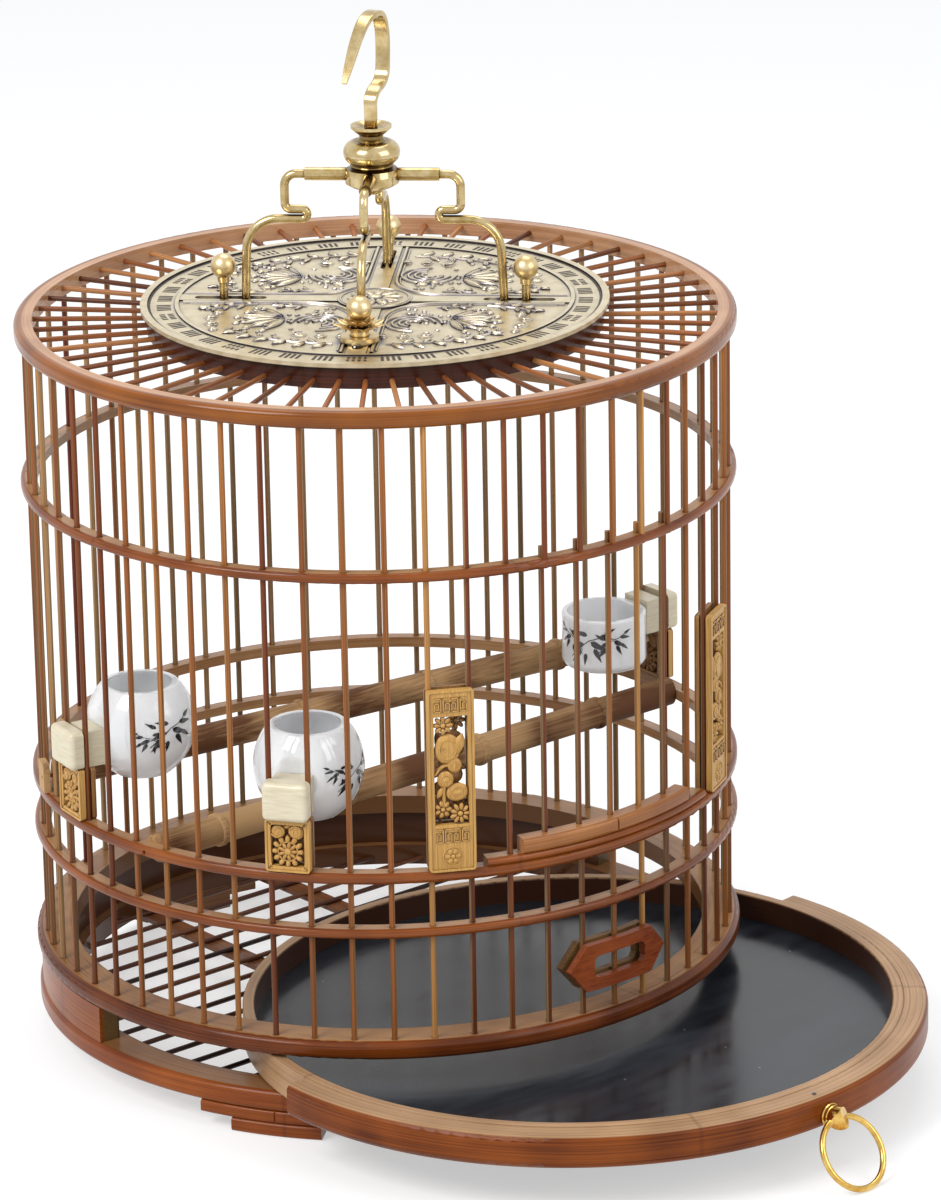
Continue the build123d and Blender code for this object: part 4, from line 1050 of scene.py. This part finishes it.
def makePlateRelief():
    look = plateLook
    bm = bmesh.new()
    for number in range(4):
        addPanel(bm, number)
    addFlower(bm, at(0, 0, look["rosetteUp"]), *look["rosette"])
    radius, rib, up = look["rosetteRing"]
    addRib(bm, at(0, 0, up), circle(radius, 48), rib, closed=True)
    low, high = look["border"]
    inside, rib = look["borderRib"]
    for radius, thick in ((low - inside, rib), look["lip"]):
        addRib(bm, at(0, 0), circle(radius, 144), thick, closed=True)
    place = metres @ Matrix.Translation((0, 0, look["top"]))
    finishPiece("plateRelief", bm, place, "cage", "pressed")
    # painted shade: a dark groove ring and dark strokes for the shaded slots
    bm = bmesh.new()
    radius, thick, flat = look["groove"]
    addRib(bm, Matrix.Diagonal((1, 1, flat, 1)), circle(radius, 144), thick, closed=True)
    long, wide, tall = look["strokeSize"]
    short, apart = look["half"]
    for group in range(look["groups"]):
        split = group % look["splitGroup"] == 1
        for stroke in range(look["strokes"]):
            turn = 360 * group / look["groups"] + (stroke - 1) * look["strokeStep"]
            for half in ((-1, 1) if split else (0,)):
                middle = at(0, 0, 0, turn=turn) @ at((low + high) / 2 + apart * half * long, 0)
                addBar(bm, middle, (short * long if split else long, wide, tall))
    finishPiece("plateStrokes", bm, place, "cage", "punched")


# Petal washer under the front claw's ball

petalLook = {
    "centre": (69.0, 225.0, 351.0),  # distance from the axis, angle and height
    "rings": [  # petals, where they start, length, width, lean upwards
        (9, 3.6, 9.0, 5.2, -16),
        (9, 2.6, 6.6, 4.2, -46),
    ],
    "up": 0.5,
    "thick": 0.45,
    "pointed": 0.35,
    "vein": (0.4, 0.06),  # by the petal's length and width
    "veinThick": (0.3, 0.35),  # and how high it is on the petal
    "core": [(0, -0.2), (4.6, -0.2), (5.4, 0.3), (5.2, 0.9), (3.6, 1.3), (3.0, 2.6), (0, 2.8)],
}


def addTurned(bm, place, profile, steps=32):
    # turned on a lathe: radius and height, from the foot to the top on the axis
    part = bmesh.new()
    verts = [part.verts.new((radius, 0, height)) for radius, height in profile]
    edges = [part.edges.new(pair) for pair in zip(verts, verts[1:])]
    bmesh.ops.spin(part, geom=verts + edges, cent=(0, 0, 0), axis=(0, 0, 1), angle=math.tau,
                   steps=steps, use_merge=True, use_duplicate=False)
    bmesh.ops.remove_doubles(part, verts=part.verts, dist=0.0001)
    addPart(bm, part, place)


def makePetals():
    look = petalLook
    far, angle, z = look["centre"]
    veinLong, veinWide = look["vein"]
    veinThick, veinUp = look["veinThick"]
    bm = bmesh.new()
    addTurned(bm, at(0, 0), look["core"])
    for ring, (count, start, long, wide, lean) in enumerate(look["rings"]):
        for number in range(count):
            turned = at(0, 0, look["up"], turn=360 * (number + 0.5 * ring) / count)
            petal = turned @ at(start, 0) @ at(0, 0, 0, lean=lean) @ at(long / 2, 0)
            addBall(bm, petal, (long / 2, wide / 2, look["thick"]), (12, 6), look["pointed"])
            addBall(bm, petal @ at(0, 0, veinUp), (veinLong * long, veinWide * wide, veinThick), (8, 4))
    place = Matrix.Rotation(math.radians(angle), 4, "Z") @ Matrix.Translation((far, 0, z))
    finishPiece("petalWasher", bm, metres @ place, "cage", "satin", ["petal_washer"])


# Knob that holds the pull ring: turned brass, its front cut to two slanting faces

knobLook = {
    "bandRadius": 162.0,
    "height": 29.0,
    "profile": [(0, -0.4), (5.3, -0.4), (5.4, 0.1), (5.4, 1.0), (5.0, 1.4), (5.0, 2.8), (4.6, 3.1),
                (4.6, 3.4), (5.1, 3.8), (5.3, 4.4), (5.3, 8.6), (4.9, 9.4), (0, 9.9)],
    "cuts": [((0, 0, 9.6), (0.52, 0.3, 0.8)), ((0, 0, 9.6), (-0.5, -0.28, 0.82))],
}


def makeKnob():
    look = knobLook
    bm = bmesh.new()
    addTurned(bm, at(0, 0), look["profile"], steps=40)
    for spot, way in look["cuts"]:
        bmesh.ops.bisect_plane(bm, geom=[*bm.verts, *bm.edges, *bm.faces], plane_co=spot, plane_no=way,
                               clear_outer=True)
        bmesh.ops.holes_fill(bm, edges=[edge for edge in bm.edges if edge.is_boundary])
    place = onWall(cage["front"] + cage["trayTurn"], look["bandRadius"], look["height"])
    finishPiece("pullKnob", bm, Matrix.Translation((trayCentre.x, trayCentre.y, 0)) @ place,
                "tray", "gold", ["tray_pull"], sharp=25)


# Hook: a brass strap, forged flat, bent and drawn out towards its tip

hookLook = {
    "turn": 208.0,  # the way it opens
    # out and up, and the share of the full width there
    "line": [(0, 423.0, 0.9), (0, 432.0, 0.9), (0, 440.8, 0.95), (-14.2, 444.0, 1), (-15.8, 455.0, 1),
             (-15.6, 468.0, 1), (-10.5, 477.0, 1), (3.5, 477.0, 0.95), (14.5, 469.5, 0.85),
             (24.0, 459.0, 0.68), (29.4, 452.4, 0.36)],
    "section": (2.6, 6.4),
    "corner": 1.1,
    "pin": [(0, 394.9), (2.2, 394.9), (2.5, 395.2), (2.5, 424.5), (0, 424.6)],
}


def makeHook():
    look = hookLook
    thick, wide = look["section"]
    eased = look["corner"]
    corners = []
    for x, y in ((1, 1), (-1, 1), (-1, -1), (1, -1)):
        far, high = x * thick / 2, y * wide / 2
        sides = [(far, high - y * eased, 0), (far, high, 0), (far - x * eased, high, 0)]
        corners += sides if x == y else sides[::-1]
    outline, section = smoothLine(corners, closed=True)
    curve, holder = smoothLine([(far, up, 0) for far, up, _ in look["line"]])
    for point, (_, _, share) in zip(curve.splines[0].points, look["line"]):
        point.radius = share
    curve.resolution_u = 8
    curve.bevel_mode = "OBJECT"
    curve.bevel_object = section
    curve.use_fill_caps = True
    for data, holding in ((outline, section), (curve, holder)):
        data.dimensions = "2D"
        data.fill_mode = "NONE"
        bpy.context.scene.collection.objects.link(holding)
    mesh = bpy.data.meshes.new_from_object(holder.evaluated_get(bpy.context.evaluated_depsgraph_get()))
    bm = bmesh.new()
    bm.from_mesh(mesh)
    bmesh.ops.remove_doubles(bm, verts=bm.verts, dist=0.001)
    line = Matrix.Rotation(math.radians(look["turn"]), 4, "Z") @ Matrix.Rotation(math.radians(90), 4, "X")
    bmesh.ops.transform(bm, matrix=line, verts=bm.verts)
    addTurned(bm, at(0, 0), look["pin"])
    for block, kept in ((holder, bpy.data.objects), (section, bpy.data.objects), (curve, bpy.data.curves),
                        (outline, bpy.data.curves), (mesh, bpy.data.meshes)):
        kept.remove(block)
    finishPiece("hookStrap", bm, metres, "hook", "brass", ["hook"], sharp=30)


# Small nail in the tray's rim, its head sunk a little

nailLook = {
    "place": (11.25, -278.96, 38.9),
    "profile": [(0, -1.0), (0.9, -1.0), (1.0, -0.1), (0.95, 0.02), (0.5, 0.06), (0, 0.08)],
}


def makeNail():
    bm = bmesh.new()
    addTurned(bm, Matrix.Translation(nailLook["place"]), nailLook["profile"], steps=16)
    finishPiece("rimNail", bm, metres, "tray", "ink")


# Bamboo leaves brushed on the cups in ink: each leaf is laid on the glaze

inkLook = {
    "lift": 0.06,
    "thick": 0.04,
    "wrap": 21.0,  # radius that a spray is bent round
    "cups": {  # axis, radius that the rays start from, and the sprays: angle, height, size, flip
        "left_cup": ((-125.1, 21.3), 40.0, [(-92, 168.0, 1.0, 1), (-118, 165.0, 0.7, -1)]),
        "front_cup": ((-103.5, -73.4), 40.0, [(-72, 165.5, 0.95, 1), (-96, 168.0, 0.6, -1)]),
        "right_cup": ((130.1, -7.3), 36.0, [
            (-150, 156.0, 1.15, 1), (-182, 158.0, 0.8, -1), (-118, 157.0, 0.85, 1)]),
    },
    # leaves of one spray: across, up, turn, length
    "leaves": [(0.0, 1.5, -28, 8.5), (-3.2, 0.6, -152, 7.5), (1.6, -1.2, -62, 7.0), (-4.6, -2.4, -128, 7.8),
               (3.6, 3.8, -8, 7.0), (-1.4, 4.2, 168, 6.4), (4.4, -0.4, -40, 6.0), (-2.2, -3.6, -96, 5.6),
               (-6.8, 3.0, 150, 5.4), (6.4, 5.4, 24, 5.2)],
    "leafShape": (0.36, 0.35, 0.6),  # width, how much narrower to the tip, power that sets where it is widest
    "stem": [(-9.5, -6.0), (-5.0, -1.4), (-0.6, 2.0), (4.4, 3.6), (9.0, 7.2)],
    "stemWide": 0.42,
}


def layOnCup(bm, cup, axis, start, spot):
    # each point is dropped from outside onto the cup, then lifted a little off it
    angle, height = spot
    for vert in bm.verts:
        turn = math.radians(angle) + vert.co.x / inkLook["wrap"]
        out = Vector((math.cos(turn), math.sin(turn), 0))
        z = height + vert.co.y
        source = Vector((axis[0], axis[1], z)) + out * start
        hit = cup.ray_cast(source / 1000, -out)[0]
        if hit:
            vert.co = hit * 1000 + out * (inkLook["lift"] + vert.co.z)


def addInkLeaf(bm, x, y, turn, length):
    wide, narrower, power = inkLook["leafShape"]
    part = bmesh.new()
    bmesh.ops.create_grid(part, x_segments=8, y_segments=2, size=0.5)
    for vert in part.verts:  # widest a third of the way along, and drawn out to a point
        share = vert.co.x + 0.5
        vert.co.y *= wide * math.sin(math.pi * share ** power) * (1 - narrower * share)
    bmesh.ops.remove_doubles(part, verts=part.verts, dist=0.0001)
    place = at(x, y, 0, turn=turn) @ Matrix.Diagonal((length, length, 1, 1)) @ at(0.5, 0)
    addPart(bm, part, place)


def addInkStem(bm, start, end):
    (x1, y1), (x2, y2) = start, end
    part = bmesh.new()
    bmesh.ops.create_grid(part, x_segments=4, y_segments=1, size=0.5)
    size = Matrix.Diagonal((math.hypot(x2 - x1, y2 - y1), inkLook["stemWide"], 1, 1))
    turn = math.degrees(math.atan2(y2 - y1, x2 - x1))
    addPart(bm, part, at((x1 + x2) / 2, (y1 + y2) / 2, 0, turn=turn) @ size)


def makeInk():
    look = inkLook
    for name, (axis, start, sprays) in look["cups"].items():
        bm = bmesh.new()
        tree = BVHTree.FromPolygons([v.co for v in nodes[name].data.vertices],
                                    [p.vertices for p in nodes[name].data.polygons])
        for angle, height, size, flip in sprays:
            spray = bmesh.new()
            for leaf in look["leaves"]:
                addInkLeaf(spray, *leaf)
            for ends in zip(look["stem"], look["stem"][1:]):
                addInkStem(spray, *ends)
            bmesh.ops.scale(spray, vec=(flip * size, size, 1), verts=spray.verts)
            layOnCup(spray, tree, axis, start, (angle, height))
            bmesh.ops.recalc_face_normals(spray, faces=spray.faces)
            bmesh.ops.solidify(spray, geom=spray.faces[:], thickness=look["thick"])
            addPart(bm, spray)
        finishPiece(name.replace("_cup", "CupInk"), bm, metres, name, "ink")


makeJambs()
makeClips()
print("carved boxwood made")
makePlateRelief()
makePetals()
makeKnob()
makeHook()
makeNail()
print("brass details made")
makeInk()
print("ink leaves made")


# Camera: where the photograph was taken from

view = {
    "turn": -39.07,  # degrees round the cage from the door's side
    "distance": 2.64,
    "height": 1.0944,
    "right": 0.89,  # degrees that it looks to the right of the axis
    "down": 18.72,
    "roll": -1.02,
    "lens": 180.87,  # mm
    "sensor": 36,  # mm on the long side
    "farthest": 50,  # m
}


def makeCamera():
    yaw, drop, roll = [math.radians(view[name]) for name in ("right", "down", "roll")]
    ahead = Vector((math.sin(yaw) * math.cos(drop), math.cos(yaw) * math.cos(drop), -math.sin(drop)))
    right = ahead.cross(Vector((0, 0, 1))).normalized()
    up = right.cross(ahead)
    camX = right * math.cos(roll) + up * math.sin(roll)
    camY = up * math.cos(roll) - right * math.sin(roll)
    place = Matrix((camX, camY, -ahead)).transposed().to_4x4()
    place.translation = (0, -view["distance"], view["height"])
    data = bpy.data.cameras.new("camera")
    data.lens = view["lens"]
    data.sensor_width = view["sensor"]
    data.clip_end = view["farthest"]
    camera = bpy.data.objects.new("camera", data)
    camera.matrix_world = Matrix.Rotation(math.radians(view["turn"]), 4, "Z") @ place
    bpy.context.scene.collection.objects.link(camera)
    bpy.context.scene.camera = camera


makeCamera()


# Floor, white world and soft lamps

studio = {
    "ambient": 0.65,
    "sky": (0.95, 0.97, 1.0, 1),
    "floorSize": 8,  # m
    "floor": "#D8D8D8",  # as it lights the cage
    "floorSeen": "#C4C4C4",  # as the camera has it
    "floorShade": 0.5,  # how much of that brightness comes from the lamps, so that a shadow shows
    "aimHeight": 0.2,
    "lamps": [  # name, turn round the cage from the camera, height, distance, size, watts
        ("key", -48, 1.7, 1.7, 1.0, 31),
        ("fill", 55, 1.2, 1.8, 1.2, 11),
        ("above", 170, 2.2, 0.9, 1.3, 12),
    ],
}


def makeStage():
    mesh = bpy.data.meshes.new("floor")
    bm = bmesh.new()
    bmesh.ops.create_grid(bm, x_segments=1, y_segments=1, size=studio["floorSize"])
    bm.to_mesh(mesh)
    bm.free()
    floor = bpy.data.objects.new("floor", mesh)
    bpy.context.scene.collection.objects.link(floor)
    material, tree, shader = startMaterial("paleFloor", Roughness=0.9)
    shader.inputs["Base Color"].default_value = linear(studio["floor"])
    path = addNode(tree, "LightPath").node
    glow = addNode(tree, "Emission", {}, {0: (1, 1, 1, 1), 1: 1 - studio["floorShade"]})
    matte = addNode(tree, "BsdfDiffuse", {}, {0: linear(studio["floorSeen"])})
    seen = addNode(tree, "AddShader", {}, {0: glow, 1: matte})
    # seen directly or in a reflection it is the glowing mixture, and otherwise the plain floor
    direct = addNode(tree, "Math", "MAXIMUM", {0: path.outputs[0], 1: path.outputs[3]})
    mixed = addNode(tree, "MixShader", {}, {0: direct, 1: shader.outputs[0], 2: seen})
    tree.links.new(mixed, tree.nodes["Material Output"].inputs[0])
    mesh.materials.append(material)
    world = bpy.data.worlds.new("world")
    bpy.context.scene.world = world
    world.use_nodes = True
    tree = world.node_tree
    path = addNode(tree, "LightPath").node
    # plain white where it is seen directly, in reflections and through things
    seen = addNode(tree, "Math", "MAXIMUM", {0: path.outputs[0], 1: path.outputs[3]})
    seen = addNode(tree, "Math", "MAXIMUM", {0: seen, 1: path.outputs[6]})
    white = addNode(tree, "Background", {}, {0: (1, 1, 1, 1), 1: 1.0})
    soft = tree.nodes["Background"]
    soft.inputs[0].default_value = studio["sky"]
    soft.inputs[1].default_value = studio["ambient"]
    mixed = addNode(tree, "MixShader", {}, {0: seen, 1: soft.outputs[0], 2: white})
    tree.links.new(mixed, tree.nodes["World Output"].inputs[0])
    for name, turn, height, distance, size, power in studio["lamps"]:
        lamp = bpy.data.lights.new(name, "AREA")
        lamp.size = size
        lamp.energy = power
        holder = bpy.data.objects.new(name, lamp)
        bpy.context.scene.collection.objects.link(holder)
        around = math.radians(cage["front"] + view["turn"] + turn)
        holder.location = (distance * math.cos(around), distance * math.sin(around), height)
        aim = Vector((0, 0, studio["aimHeight"])) - holder.location
        holder.rotation_euler = aim.to_track_quat("-Z", "Y").to_euler()
    bpy.context.scene.view_settings.view_transform = "Standard"


makeStage()
print("camera, floor and lamps set")
